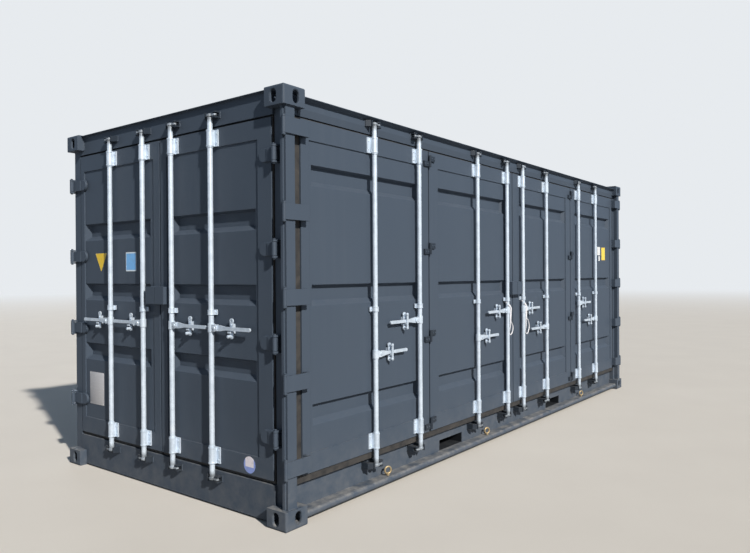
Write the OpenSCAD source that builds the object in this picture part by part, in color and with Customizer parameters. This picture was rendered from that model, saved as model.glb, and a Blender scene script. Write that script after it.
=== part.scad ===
// Twenty foot side door shipping container, origin at the bottom centre.
// +Z is up, the end doors face -X and the folding side doors face -Y.
// Depths are measured inwards from the outer faces of the corner castings.

/* [Overall] */
// Outer length over the corner castings
length = 6058; // [5500:1:6600]
// Outer width over the corner castings
width = 2438; // [2300:1:2600]
// Outer height over the corner castings
height = 2591; // [2400:1:2900]

/* [Corner castings] */
// Casting size along the length
casting_x = 178; // [170:1:190]
// Casting size along the width
casting_y = 162; // [155:1:175]
// Casting size along the height
casting_z = 118; // [112:1:130]
// Thickness of the casting's flat walls
casting_wall = 16; // [12:1:20]
// Thickness of its top or bottom plate
casting_plate = 28; // [24:1:32]
// Radius of its outer edges
casting_r = 13; // [8:1:18]
// Length of the oblong lifting hole
lift_hole_x = 124; // [110:1:130]
// Width of the oblong lifting hole
lift_hole_y = 64; // [50:1:70]
// Distance of a hole's centre from the end of the container
hole_in_x = 102; // [98:1:104]
// Distance of a hole's centre from the side of the container
hole_in_y = 89; // [86:1:92]
// Height of the holes in the upright faces
face_hole_z = 80; // [60:1:80]
// Width of the holes in the upright faces
face_hole_w = 51; // [40:1:64]
// Width of the bevel round those holes
hole_bevel = 4; // [2:1:6]

/* [Frame] */
// Depth of the outer faces of posts and rails
skin_depth = 16; // [8:1:22]
// Depth of the recessed faces behind the door gear
rail_depth = 54; // [50:1:60]
// Width of a corner post across the container
post_y = 97; // [85:1:120]
// Extra post width that carries the side hinges
post_extra = 50; // [30:1:60]
// Width of the outer face of a post beside the folding doors
post_face = 106; // [98:1:115]
// Depth of the rebate between that face and the leaf
rebate_depth = 60; // [56:1:62]
// Width of a corner post along the container
post_x = 150; // [130:1:160]
// Wall of the rolled and pressed posts
post_wall = 8; // [6:1:10]
// Thickness of the pressed rails
rail_wall = 5; // [4:1:8]
// Distance of the door header's upper edge below the top
header_drop = 6; // [3:1:20]
// Height of the door header
header_h = 145; // [140:1:170]
// Distance of the side rail's upper edge below the top
side_rail_drop = 41; // [35:1:60]
// Thickness of the header and the door sill
beam_deep = 80; // [60:1:90]
// Thickness of the rails and of the rear beams
rail_deep = 60; // [45:1:70]
// Height of the lip along the top rail
rail_lip = 4; // [3:1:8]
// Rise of the drip edge under it
rail_drip = 17; // [10:1:25]
// Height over which the rail's foot bends inwards
rail_bend = 45; // [30:1:60]
// Distance that the foot bends in
rail_bend_in = 9; // [5:1:14]
// Depth of the header's top lip
header_lip_depth = 30; // [24:1:50]
// Gap between that lip and the header
header_lip_gap = 0.3; // [0.2:0.1:0.5]
// Height of the plain bottom rail and of the rear sill
plain_rail_h = 160; // [140:1:180]
// Height of the door sill's lower edge
sill_low = 12; // [8:1:30]
// Height of the door sill's upper edge
sill_high = 234; // [200:1:245]
// Height of the bottom side rail's lower edge
side_sill_low = 27; // [20:1:40]
// Height of the bottom side rail's upper edge
side_sill_high = 206; // [202:1:212]
// Depth of the bottom side rail's upright face below the side doors
side_sill_depth = 106; // [90:1:108]
// Thickness of that face
sill_wall = 8; // [6:1:10]
// Gap between that face and the seal above it
sill_seal_gap = 10; // [6:1:14]
// Height of the lip along the rail's foot
lip_h = 44; // [36:1:50]

/* [Tie rings] */
// Radius of a tie ring from its centre to the middle of its bar
tie_ring_r = 24; // [18:1:26]
// Radius of the ring's bar
tie_ring_bar = 7; // [5:0.5:7]
// Distance of a ring in front of the rail's upright face
tie_ring_out = 50; // [34:1:60]
// Turn of a ring out of the side's plane, in degrees
tie_ring_turn = 25; // [0:5:45]
// Radius of a ring's stem
tie_stem_r = 11; // [9:1:13]
// Height of a ring's stem
tie_stem_h = 16; // [14:1:20]
// Gap between the stem and the rail
tie_stem_gap = 0.3; // [0.2:0.1:0.5]
// Place of the first ring from the middle
tie_ring_1 = -1975; // [-2100:1:-1900]
// Place of the second ring
tie_ring_2 = -515; // [-600:1:-450]
// Place of the third ring
tie_ring_3 = 1745; // [1690:1:1800]

/* [Underframe] */
// Height of the floor's upper face
floor_top = 198; // [190:1:205]
// Thickness of the floor boards
floor_t = 28; // [21:1:30]
// Number of cross members
cross_count = 16; // [10:1:20]
// Flange width of a cross member
cross_w = 45; // [40:1:60]
// Height of a cross member
cross_h = 110; // [90:1:115]
// Sheet of a cross member
cross_t = 5; // [4:1:6]
// Distance between the fork pockets
fork_spacing = 2080; // [1800:1:2100]
// Clear width of a fork pocket
fork_w = 355; // [340:1:370]
// Clear height of a fork pocket
fork_h = 84; // [75:1:90]
// Height of a fork pocket's lower edge
fork_low = 72; // [71:1:80]

/* [Panels] */
// Sheet of the walls and the roof
sheet = 3; // [2:0.5:5]
// Depth of the wall corrugation
wall_wave = 36; // [30:1:40]
// Pitch of the wall corrugation
wall_pitch = 278; // [250:1:300]
// Height of the roof's pressed ribs
roof_wave = 20; // [15:1:22]
// Pitch of the roof's pressed ribs
roof_pitch = 209; // [180:1:230]
// Share of the pitch that a rib takes at its foot
rib_share = 0.62; // [0.5:0.01:0.75]
// Width of the flat border along the roof's sides
roof_flat = 110; // [80:1:160]

/* [Door leaves] */
// Depth of a leaf's frame
leaf_depth = 54; // [50:1:60]
// Thickness of a leaf
leaf_t = 50; // [45:1:55]
// Depth of a leaf's pressed panel
panel_depth = 62; // [58:1:66]
// Depth of the panel's pressed grooves
groove = 36; // [25:1:40]
// Height of one groove
groove_h = 130; // [110:1:150]
// Height that a groove's sloped lower edge takes
groove_slope = 34; // [25:1:45]
// Height that its upper edge takes
groove_top = 12; // [8:1:20]
// Sheet of a leaf's panel
panel_sheet = 3; // [2:0.5:5]
// Height of an end leaf's lower edge
end_leaf_low = 260; // [255:1:290]
// Height of a side leaf's lower edge
side_leaf_low = 278; // [265:1:290]
// Gap between a leaf's upper edge and the header
leaf_top_gap = 14; // [10:1:20]
// Gap between neighbouring leaves
leaf_gap = 14; // [12:1:16]
// Gap between a leaf and its post
jamb_gap = 14; // [10:1:20]
// Gap between a folding leaf and its post, filled by the seal
side_jamb_gap = 44; // [30:1:50]
// How far the rubber hangs below the folding leaves
side_seal_under = 46; // [30:1:50]
// Thickness of the rubber seal
seal_t = 8; // [6:1:12]
// Depth of the seal's outer lip
lip_depth = 66; // [58:1:80]
// Width of the seal's flat back
seal_flat = 26; // [20:1:40]
// Reach of the seal over a leaf's top
seal_over = 7; // [4:1:8]
// Reach of the seal under a leaf
seal_under = 18; // [8:1:20]
// Reach of the seal beyond a leaf's edge towards a post
seal_reach = 7; // [4:1:8]
// Height of a leaf's top and bottom frame bars
leaf_bar = 120; // [100:1:150]

/* [End doors] */
// Sideways place of the line where the end leaves meet
end_split = 57; // [0:1:80]
// Width of a leaf's upright at the split
end_free_stile = 70; // [50:1:100]
// Width of the wall side leaf's upright at its hinge
end_wall_stile = 48; // [40:1:58]
// Width of the door side leaf's upright at its hinge
end_side_stile = 120; // [50:1:140]
// Distance of the grooves from the split edge
end_free_margin = 118; // [100:1:130]
// Distance of the grooves from the wall side leaf's hinge edge
end_wall_margin = 50; // [48:1:70]
// Distance of the grooves from the door side leaf's hinge edge
end_side_margin = 146; // [140:1:160]
// Height of the top edge of the lowest end groove
end_groove_low = 965; // [900:1:1000]
// Distance between the end grooves
end_groove_pitch = 463; // [440:1:480]

/* [Side doors] */
// Place of the fold line from the middle
fold_x = 1433; // [1400:1:1460]
// Width of a leaf's upright at the middle of the side
side_free_stile = 138; // [100:1:160]
// Width of the uprights at the fold line
side_fold_stile = 125; // [100:1:150]
// Width of the outer upright
side_post_stile = 72; // [60:1:90]
// Distance of the grooves from that edge of the leaf
side_post_margin = 98; // [90:1:120]
// Height of the top edge of the lowest side groove
side_groove_low = 690; // [650:1:720]
// Distance between the side grooves
side_groove_pitch = 735; // [700:1:760]

/* [Lock gear] */
// Outer radius of a lock rod
rod_r = 17; // [14:0.5:18]
// Depth of a lock rod's axis
rod_depth = 25; // [22:1:28]
// Height of a lock rod's lower end
rod_low = 196; // [190:1:210]
// Distance of a lock rod's upper end above the leaf
rod_over = 74; // [60:1:80]
// Distance of the inner end rods from the split
end_rod_in = 168; // [150:1:190]
// Distance of the outer end rods from the split
end_rod_out = 586; // [560:1:600]
// Places of the side rods from the middle
side_rod_1 = 166; // [150:1:190]
// Second side rod
side_rod_2 = 717; // [700:1:740]
// Third side rod
side_rod_3 = 1606; // [1590:1:1620]
// Fourth side rod
side_rod_4 = 2147; // [2130:1:2160]
// Height of the end handles
end_handle_z = 1152; // [1100:1:1200]
// Height of the upper side handles
side_handle_high = 1147; // [1100:1:1200]
// Height of the lower side handles
side_handle_low = 942; // [900:1:980]
// Reach of a handle from its rod's axis
handle_reach = 370; // [340:1:390]
// Distance of a handle's catch from its rod
catch_reach = 178; // [160:1:200]
// Distance of a handle's lifting pin from its rod
pivot_reach = 46; // [42:1:55]
// Thickness of a handle
handle_t = 12; // [10:1:14]
// Height of a handle at its root
handle_root = 40; // [34:1:46]
// Distance from its rod at which a handle has tapered to its grip
handle_neck = 140; // [120:1:160]
// Height of a handle's grip
handle_grip = 24; // [20:1:28]
// Width of the hub that carries a handle's pin
hub_w = 30; // [28:1:34]
// Height of the hub's sleeve
hub_h = 56; // [48:1:64]
// Radius of the hub's rounded ears
ear_r = 22; // [20:1:24]
// Gap between a handle and the ears on both sides of it
ear_gap = 2; // [1:0.5:3]
// Radius of a handle's lifting pin
lift_pin_r = 6; // [5:0.5:7]
// How far that pin stands out in front of the hub
lift_pin_out = 4; // [2:1:6]
// Gap between a guide and the collars that hold a rod up
collar_gap = 0.5; // [0.3:0.1:1]
// Height of a collar
collar_h = 8; // [6:1:12]
// Thickness of a collar
collar_t = 4; // [3:1:6]
// Running clearance round a rod
rod_clear = 0.4; // [0.3:0.1:1]
// Width of a rod guide
guide_w = 104; // [90:1:120]
// Height of the top and bottom rod guides
guide_h = 105; // [90:1:120]
// Height of the guide beside the handles
mid_guide_h = 32; // [26:1:40]
// Width of that guide
mid_guide_w = 64; // [50:1:70]
// Height of that guide above the ground
mid_guide_z = 1250; // [1225:1:1300]
// Wall of a guide's saddle
saddle_t = 5; // [4:1:6]
// Thickness of the rims at a saddle's ends
saddle_rim = 2; // [1:0.5:3]
// Distance of a top guide from the leaf's upper edge
guide_in_top = 12; // [8:1:30]
// Distance of a bottom guide from the leaf's lower edge
guide_in_low = 24; // [12:1:40]
// Reach of a cam's nose from the rod's axis
cam_reach = 60; // [52:1:64]
// Thickness of a cam
cam_t = 12; // [10:1:14]
// Radius of a cam's nose
cam_nose_r = 11; // [9:1:13]
// Thickness of the ring round a rod at its cams and hub
rod_ring = 5; // [4:1:6]
// Height of the domed cap on a cam
cam_cap = 6; // [4:1:8]
// Height over which a rod flares out to its cam
cam_flare = 6; // [4:1:20]
// Gap where a cam is welded on its rod
cam_gap = 0.3; // [0.2:0.1:0.5]
// Clearance between a cam and its keeper
cam_clear = 6; // [5:0.5:8]
// Thickness of a keeper's jaws
jaw_t = 9; // [8:1:12]
// Gap between a rod and its keeper
keeper_gap = 13; // [11:1:15]
// Reach of the jaws beyond a cam's nose
keeper_over = 8; // [5:1:12]
// Gap between a rod and the foot that carries the jaws
keeper_back = 4; // [3:1:6]
// Reach of the jaws in front of a rod's axis
keeper_front = 12; // [8:1:16]
// Cut at the jaws' corners
jaw_cut = 8; // [5:1:10]
// Width of a handle's catch
catch_w = 34; // [30:1:38]
// Distance of a catch's knobs above and below the handle
catch_knob = 48; // [44:1:54]
// Gap between a handle and the catch behind it
catch_gap = 7; // [5:1:9]
// Thickness of a catch
catch_t = 8; // [6:1:10]
// Width of the packer under a catch
catch_packer_w = 24; // [20:1:28]
// Height of that packer
catch_packer_h = 60; // [50:1:80]
// Width of the ledge under a handle
ledge_w = 26; // [22:1:30]
// Thickness of the ledge
ledge_t = 10; // [8:1:12]
// Radius of the ball at a catch's foot
catch_ball_r = 11; // [9:1:13]
// Radius of the pin that closes a side catch
catch_pin_r = 9; // [7:1:10]
// Radius of the eye for a seal in an open catch
seal_eye_r = 6; // [5:1:8]
// Gap between a handle and the strap in front of it
strap_gap = 3; // [2:1:4]
// Thickness of the strap that closes a side catch
strap_t = 6; // [4:1:7]
// Width of half a padlock housing
lock_box_w = 105; // [90:1:120]
// Height of the padlock housings above the ground
lock_box_low = 1290; // [1250:1:1300]
// Height of a padlock housing
lock_box_h = 120; // [100:1:130]
// Depth of a padlock housing's face
lock_box_front = 3; // [2:1:6]
// Half of the seam between the end housing's halves
lock_box_seam = 3; // [2:1:5]
// Sheet of a padlock housing
lock_box_t = 6; // [4:1:8]

/* [Hinges] */
// Depth of the end hinge pins
pin_depth = 26; // [24:1:28]
// Distance of the wall side hinge pin from the container's side
wall_pin_y = 22; // [20:1:26]
// Distance of the door side hinge pin from the container's side
side_pin_y = 111; // [105:1:114]
// Radius of a hinge pin
pin_r = 7; // [6:0.5:8]
// Radius of a hinge knuckle
knuckle_r = 14; // [12:0.5:15]
// Height of an end hinge plate
blade_h = 80; // [70:1:90]
// Thickness of an end hinge plate
blade_t = 14; // [10:1:16]
// Thickness of the lugs above and below an end hinge plate
lug_t = 12; // [10:1:16]
// Gap between a lug and the hinge plate
lug_gap = 2; // [1:0.5:4]
// How far a pin stands out of its lugs
pin_over = 4; // [2:1:6]
// Reach of an end hinge plate over its leaf
blade_over = 92; // [70:1:120]
// Height of the lowest end hinge
end_hinge_low = 520; // [500:1:540]
// Distance between the end hinges
end_hinge_pitch = 560; // [540:1:580]
// Reach of a side hinge plate over its leaf
side_blade_over = 26; // [18:1:40]
// Radius of a side hinge pin
side_pin_r = 6; // [5:0.5:7]
// Height of the lowest side hinge
side_hinge_low = 355; // [340:1:370]
// Distance between the side hinges
side_hinge_pitch = 500; // [480:1:510]
// Height of a side hinge plate
side_blade_h = 95; // [80:1:105]
// Inset of the side hinge pins from both outer faces
corner_pin = 18; // [17:0.5:20]
// Radius of a side hinge knuckle
corner_knuckle_r = 12; // [10:0.5:13]
// Radius of a fold hinge's knuckle
fold_knuckle_r = 12; // [10:0.5:13]
// Depth of a fold hinge's pin
fold_pin_depth = 40; // [36:1:42]
// Height of a fold hinge
fold_hinge_h = 88; // [80:1:110]
// Reach of a fold hinge over either leaf
fold_hinge_arm = 74; // [50:1:90]
// Gap between the halves of a fold hinge
fold_hinge_gap = 4; // [2:1:6]
// Height of the lowest fold hinge
fold_hinge_low = 342; // [330:1:360]
// Distance between the fold hinges
fold_hinge_pitch = 669; // [660:1:680]

/* [Hidden] */
$fn = 48;
eps = 0.01;
hl = length / 2;
hw = width / 2;
header_high = height - header_drop;
header_low = header_high - header_h;
side_rail_high = height - side_rail_drop;
leaf_high = header_low - leaf_top_gap;
rod_high = leaf_high + rod_over;
casting_in_x = hl - casting_x;
casting_in_y = hw - casting_y;
post_in_x = hl - post_x;
under_top_casting = height - casting_z;
end_hinge_zs = [for (i = [0:3]) end_hinge_low + i * end_hinge_pitch];
side_hinge_zs = [for (i = [0:4]) side_hinge_low + i * side_hinge_pitch];
wall_jamb = hw - post_y;
wide_post = post_y + post_extra;
side_jamb = -hw + wide_post;
end_rods = [end_split + end_rod_out, end_split + end_rod_in,
            end_split - end_rod_in, end_split - end_rod_out];
end_dirs = [1, 1, -1, -1];
side_rods_x = [-side_rod_4, -side_rod_3, -side_rod_2, -side_rod_1,
               side_rod_1, side_rod_2, side_rod_3, side_rod_4];
side_dirs = [1, -1, 1, -1, 1, -1, 1, -1];
side_zs = [side_handle_low, side_handle_high, side_handle_low, side_handle_high,
           side_handle_high, side_handle_low, side_handle_high, side_handle_low];
end_grooves = [for (i = [0:2]) end_groove_low + i * end_groove_pitch];
side_grooves = [for (i = [0:2]) side_groove_low + i * side_groove_pitch];
side_leaf_end = hl - post_x - side_jamb_gap;
tie_ring_xs = [tie_ring_1, tie_ring_2, tie_ring_3];
pocket_xs = [-fork_spacing / 2, fork_spacing / 2];

paint = [0.24, 0.26, 0.29];
zinc = [0.78, 0.80, 0.82];

// A box from its lowest corner to its highest
module block(low, high) translate(low) cube(high - low);

// Turns what is drawn for one hand into the other hand
module hand(dir) if (dir > 0) children(); else mirror([0, 1, 0]) children();

// Puts a drawing on the end face: x is depth, y runs along dir, z is height
module on_end(y, dir) translate([-hl, y, 0]) hand(dir) children();

// Puts the same drawing on the side face
module on_side(x, dir) translate([x, -hw, 0]) rotate([0, 0, 90]) hand(-dir) children();

// Mirrors a drawing at the corner of the end and side planes to one corner
module at_corner(ex, ey) translate([ex * hl, ey * hw, 0])
    mirror([ex > 0 ? 1 : 0, 0, 0]) mirror([0, ey > 0 ? 1 : 0, 0]) children();

// Extrudes a drawing of length and height to a plate that lies in depth
module upright_plate(depth, t)
    translate([depth, 0, 0]) rotate([90, 0, 90]) linear_extrude(t) children();

// An oblong hole with round ends
module oblong(long, wide, h) {
    translate([-(long - wide) / 2, -wide / 2, 0]) cube([long - wide, wide, h]);
    for (s = [-1, 1]) translate([s * (long - wide) / 2, 0, 0]) cylinder(d = wide, h = h);
}

// Outline of a by b with the corner at its origin rounded
function round_corner(a, b, r) = concat(
    [for (i = [0:4]) let (t = 270 - 90 * i / 4) [r + r * cos(t), r + r * sin(t)]],
    [[0, b], [a, b], [a, 0]]);

// An oblong hole with a bevel at its mouth, along +Z from the origin
module face_hole() {
    oblong(face_hole_z, face_hole_w, casting_wall + 2);
    oblong(face_hole_z + 2 * hole_bevel, face_hole_w + 2 * hole_bevel, 1 + hole_bevel / 2);
}

// A casting: hollow block with its outer edges rounded and a hole in three faces
module casting() {
    face_z = casting_z / 2 + 3;
    difference() {
        intersection() {
            linear_extrude(casting_z) polygon(round_corner(casting_x, casting_y, casting_r));
            rotate([90, 0, 90]) linear_extrude(casting_x)
                polygon(round_corner(casting_y, casting_z, casting_r));
            translate([0, casting_y, 0]) rotate([90, 0, 0]) linear_extrude(casting_y)
                polygon(round_corner(casting_x, casting_z, casting_r));
        }
        translate([casting_wall, casting_wall, casting_plate])
            cube([casting_x - 2 * casting_wall, casting_y - 2 * casting_wall,
                  casting_z - casting_plate - casting_wall]);
        translate([hole_in_x, hole_in_y, -1]) oblong(lift_hole_x, lift_hole_y, casting_plate + 2);
        translate([-1, hole_in_y, face_z]) rotate([0, 90, 0]) face_hole();
        translate([hole_in_x, -1, face_z]) rotate([-90, 0, 0]) rotate([0, 0, 90]) face_hole();
    }
}

module bottom_castings() color(paint)
    for (ex = [-1, 1], ey = [-1, 1]) at_corner(ex, ey) casting();

module top_castings() color(paint)
    for (ex = [-1, 1], ey = [-1, 1]) at_corner(ex, ey)
        translate([0, 0, height]) mirror([0, 0, 1]) casting();

// Stretch between the bottom and top castings
module post_height() translate([0, 0, casting_z]) linear_extrude(height - 2 * casting_z) children();

// Square step in a post's outer edge, in which the side hinge knuckles lie
module edge_step() translate([-1, -1]) square(edge_step_w + 1);

module plain_post() post_height() difference() {
    translate([skin_depth, skin_depth]) square([post_x - skin_depth, post_y - skin_depth]);
    translate([skin_depth + post_wall, skin_depth + post_wall])
        square([post_x - skin_depth - 2 * post_wall, post_y - skin_depth - 2 * post_wall]);
}

edge_step_w = corner_pin + corner_knuckle_r + 2;
// Strip behind a leaf's edge, on which its seal closes
stop_depth = leaf_depth + leaf_t + seal_t + 6;
stop_w = 24;
stop_t = 10;

module end_stop(dy) block([stop_depth, dy - eps, sill_high], [stop_depth + stop_t, dy + stop_w, header_low]);
module side_stop() block([post_x - eps, stop_depth, side_sill_high],
                         [post_x + stop_w, stop_depth + stop_t, header_low]);

module door_post_wall() color(paint) at_corner(-1, 1) {
    post_height() difference() {
        translate([leaf_depth + 4, skin_depth]) square([post_x - leaf_depth - 4, post_y - skin_depth]);
        translate([leaf_depth + 4 + post_wall, skin_depth + post_wall])
            square([post_x - leaf_depth - 4 - 2 * post_wall, post_y - skin_depth - 2 * post_wall]);
    }
    end_stop(post_y);
}

notch_depth = 70;
leg_w = 36;
leg_depth = 22;

module door_post_side() color(paint) at_corner(-1, -1) {
    post_height() difference() {
        polygon([[leg_depth, edge_step_w], [leg_depth, skin_depth + leg_w],
                 [notch_depth, skin_depth + leg_w], [notch_depth, wide_post], [post_x, wide_post],
                 [post_x, rebate_depth], [post_face, rebate_depth], [post_face, skin_depth],
                 [edge_step_w, skin_depth], [edge_step_w, edge_step_w]]);
        translate([notch_depth + post_wall, rebate_depth + post_wall])
            square([post_x - notch_depth - 2 * post_wall, wide_post - rebate_depth - 2 * post_wall]);
        translate([edge_step_w + post_wall, skin_depth + post_wall])
            square([post_face - edge_step_w - 2 * post_wall, leg_w - 2 * post_wall]);
    }
    end_stop(wide_post);
    side_stop();
}

module rear_post_wall() color(paint) at_corner(1, 1) plain_post();

module rear_post_side() color(paint) at_corner(1, -1) {
    post_height() difference() {
        translate([skin_depth, skin_depth]) square([post_x - skin_depth, wide_post - skin_depth]);
        edge_step();
        translate([post_face, 0]) square([post_x, rebate_depth]);
        translate([edge_step_w + post_wall, rebate_depth + post_wall])
            square([post_x - edge_step_w - 2 * post_wall, wide_post - rebate_depth - 2 * post_wall]);
        translate([edge_step_w + post_wall, skin_depth + post_wall])
            square([post_face - edge_step_w - 2 * post_wall, leg_w - 2 * post_wall]);
    }
    side_stop();
}

// Box section that runs across the end from post to post
module across(low_y, high_y, depth, low, high, deep) difference() {
    block([-hl + depth, low_y, low], [-hl + depth + deep, high_y, high]);
    block([-hl + depth + rail_wall, low_y - 1, low + rail_wall],
          [-hl + depth + deep - rail_wall, high_y + 1, high - rail_wall]);
}

module door_header() color(paint) {
    across(-casting_in_y, casting_in_y, rail_depth, header_low, header_high, beam_deep);
    block([-hl + header_lip_depth, -casting_in_y, header_high - rail_lip],
          [-hl + rail_depth - header_lip_gap, casting_in_y, header_high]);
    for (r = [[side_jamb, -casting_in_y], [casting_in_y, wall_jamb]])
        block([-hl + rail_depth, r[0], header_low], [-hl + rail_depth + beam_deep, r[1], under_top_casting]);
    block([-hl + stop_depth, side_jamb + stop_w, header_low - stop_w],
          [-hl + stop_depth + stop_t, wall_jamb - stop_w, header_low]);
}

module door_sill() color(paint) {
    across(-casting_in_y, casting_in_y, rail_depth, sill_low, sill_high, beam_deep);
    for (r = [[side_jamb, -casting_in_y], [casting_in_y, wall_jamb]])
        block([-hl + rail_depth, r[0], casting_z], [-hl + rail_depth + beam_deep, r[1], sill_high]);
    block([-hl + stop_depth, side_jamb + stop_w, sill_high],
          [-hl + stop_depth + stop_t, wall_jamb - stop_w, end_leaf_low + stop_w]);
}

module rear_header() color(paint) mirror([1, 0, 0])
    across(-casting_in_y, casting_in_y, skin_depth, under_top_casting, header_high, rail_deep);

module rear_sill() color(paint) mirror([1, 0, 0])
    across(-casting_in_y, casting_in_y, skin_depth, sill_low, sill_low + plain_rail_h, rail_deep);

// Extrudes a section of depth and height along the side
module along(low_x, high_x)
    translate([low_x, -hw, 0]) rotate([90, 0, 90]) linear_extrude(high_x - low_x) children();

// Lashing rings on the rail's foot, each on a short stem
module tie_rings() color([0.72, 0.58, 0.32]) for (x = tie_ring_xs)
    on_side(x, 1) translate([side_sill_depth - tie_ring_out, 0, side_sill_low + lip_h]) {
        translate([0, 0, tie_stem_gap]) cylinder(r = tie_stem_r, h = tie_stem_h);
        translate([0, 0, tie_stem_h - 2 + tie_ring_r]) rotate([0, 90, tie_ring_turn]) rotate_extrude()
            translate([tie_ring_r, 0]) circle(r = tie_ring_bar);
    }

module side_top_rail() color(paint) {
    along(-casting_in_x, casting_in_x) difference() {
        union() {
            polygon([[rail_depth + rail_bend_in, header_low], [rail_depth, header_low + rail_bend],
                     [rail_depth, side_rail_high - rail_lip - rail_drip],
                     [skin_depth, side_rail_high - rail_lip], [skin_depth, side_rail_high],
                     [rail_depth + rail_deep, side_rail_high], [rail_depth + rail_deep, header_low]]);
        }
        translate([rail_depth + rail_bend_in + rail_wall, header_low + rail_wall])
            square([rail_deep - rail_bend_in - 2 * rail_wall,
                    side_rail_high - header_low - 2 * rail_wall]);
    }
    for (s = [-1, 1]) block([s > 0 ? casting_in_x : -post_in_x, -hw + rail_depth + rail_bend_in, header_low],
                            [s > 0 ? post_in_x : -casting_in_x, -hw + rail_depth + rail_deep,
                             under_top_casting]);
    along(stop_w - post_in_x, post_in_x - stop_w) {
        translate([rail_depth + rail_deep - rail_wall, header_low - rail_wall])
            square([stop_depth + stop_t - rail_depth - rail_deep + rail_wall, rail_wall + eps]);
        translate([stop_depth, header_low - stop_w]) square([stop_t, stop_w]);
    }
}

// Holes through a side rail where the fork pockets come out
module pocket_holes(low_y, high_y) for (x = pocket_xs)
    block([x - fork_w / 2, low_y, fork_low], [x + fork_w / 2, high_y, fork_low + fork_h]);

module side_bottom_rail() color(paint) difference() {
    round_r = lip_h / 2;
    union() {
        along(-casting_in_x, casting_in_x) {
            translate([side_sill_depth, side_sill_low])
                square([sill_wall, side_leaf_low - side_seal_under - sill_seal_gap - side_sill_low]);
            for (z = [side_sill_low, side_sill_high - rail_wall])
                translate([side_sill_depth, z]) square([rail_deep, rail_wall]);
            difference() {
                union() {
                    translate([skin_depth + round_r, side_sill_low])
                        square([side_sill_depth - skin_depth - round_r + eps, lip_h]);
                    translate([skin_depth + round_r, side_sill_low + round_r]) circle(r = round_r);
                }
                translate([skin_depth + round_r, side_sill_low - eps])
                    square([side_sill_depth - skin_depth - round_r - rail_wall, lip_h - rail_wall]);
            }
        }
        along(stop_w - post_in_x, post_in_x - stop_w) translate([stop_depth, side_sill_high - rail_wall])
            square([stop_t, side_leaf_low + stop_w - side_sill_high]);
        for (s = [-1, 1])
            block([s > 0 ? casting_in_x : -post_in_x, -hw + side_sill_depth, casting_z],
                  [s > 0 ? post_in_x : -casting_in_x, -hw + side_sill_depth + rail_deep, side_sill_high]);
    }
    pocket_holes(-hw + side_sill_depth - 1, -hw + side_sill_depth + rail_deep + 1);
}

module wall_top_rail() color(paint) mirror([0, 1, 0]) along(-casting_in_x, casting_in_x) difference() {
    tall = side_rail_high - under_top_casting;
    translate([skin_depth, under_top_casting]) square([rail_deep, tall]);
    translate([skin_depth + rail_wall, under_top_casting + rail_wall])
        square([rail_deep - 2 * rail_wall, tall - 2 * rail_wall]);
}

module wall_bottom_rail() color(paint) difference() {
    union() {
        mirror([0, 1, 0]) along(-casting_in_x, casting_in_x) {
            translate([skin_depth, side_sill_low]) square([rail_wall, plain_rail_h]);
            for (z = [0, plain_rail_h - rail_wall])
                translate([skin_depth, side_sill_low + z]) square([rail_deep, rail_wall]);
        }
        for (s = [-1, 1])
            block([s > 0 ? casting_in_x - eps : -post_in_x, hw - skin_depth - rail_deep, casting_z],
                  [s > 0 ? post_in_x : -casting_in_x + eps, hw - skin_depth, side_sill_low + plain_rail_h]);
    }
    pocket_holes(hw - skin_depth - 2 * rail_wall, hw - skin_depth + rail_wall);
}

// Zigzag section of a corrugated sheet, waves of the given pitch and height
function wave(from, count, pitch, h) = [for (i = [0:count - 1])
    each [[from + i * pitch, 0], [from + (i + 0.26) * pitch, 0],
          [from + (i + 0.5) * pitch, h], [from + (i + 0.76) * pitch, h]]];
function shifted(points, t) = [for (i = [len(points) - 1:-1:0]) [points[i][0], points[i][1] + t]];

wall_count = floor((2 * post_in_x) / wall_pitch);
wall_from = -wall_count * wall_pitch / 2;
wall_low = side_sill_low + plain_rail_h;
wall_high = under_top_casting;

module wall_panel() color(paint) {
    face = concat([[-post_in_x, 0]], wave(wall_from, wall_count, wall_pitch, wall_wave), [[post_in_x, 0]]);
    translate([0, hw - skin_depth - 4, wall_low]) mirror([0, 1, 0]) linear_extrude(wall_high - wall_low)
        polygon(concat(face, shifted(face, sheet)));
}

rear_half = (wall_jamb - side_jamb) / 2;
rear_count = floor(2 * rear_half / wall_pitch);
rear_low = sill_low + plain_rail_h;

module rear_panel() color(paint) {
    face = concat([[-rear_half, 0]], wave(-rear_count * wall_pitch / 2, rear_count, wall_pitch, wall_wave),
                  [[rear_half, 0]]);
    translate([hl - skin_depth - 8, (wall_jamb + side_jamb) / 2, rear_low]) rotate([0, 0, 90])
        linear_extrude(under_top_casting - rear_low)
        polygon(concat(face, shifted(face, sheet)));
}

roof_half_x = hl - rail_depth - beam_deep;
roof_rear_x = hl - skin_depth - rail_deep;
roof_count = floor((roof_half_x + roof_rear_x - roof_pitch) / roof_pitch);
roof_half_y = hw - skin_depth - 8;
roof_middle = (roof_rear_x - roof_half_x) / 2;
roof_ribs = [for (i = [0:roof_count - 1]) roof_middle + (i - (roof_count - 1) / 2) * roof_pitch];
roof_rib_y = roof_half_y - roof_flat;

// A solid with sloped sides all round, from its foot of x by y up to its top
module pressing(x, y, h, slope) intersection() {
    translate([0, y / 2, 0]) rotate([90, 0, 0]) linear_extrude(y)
        polygon([[-x / 2, 0], [slope - x / 2, h], [x / 2 - slope, h], [x / 2, 0]]);
    translate([-x / 2, 0, 0]) rotate([90, 0, 90]) linear_extrude(x)
        polygon([[-y / 2, 0], [slope - y / 2, h], [y / 2 - slope, h], [y / 2, 0]]);
}

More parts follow.
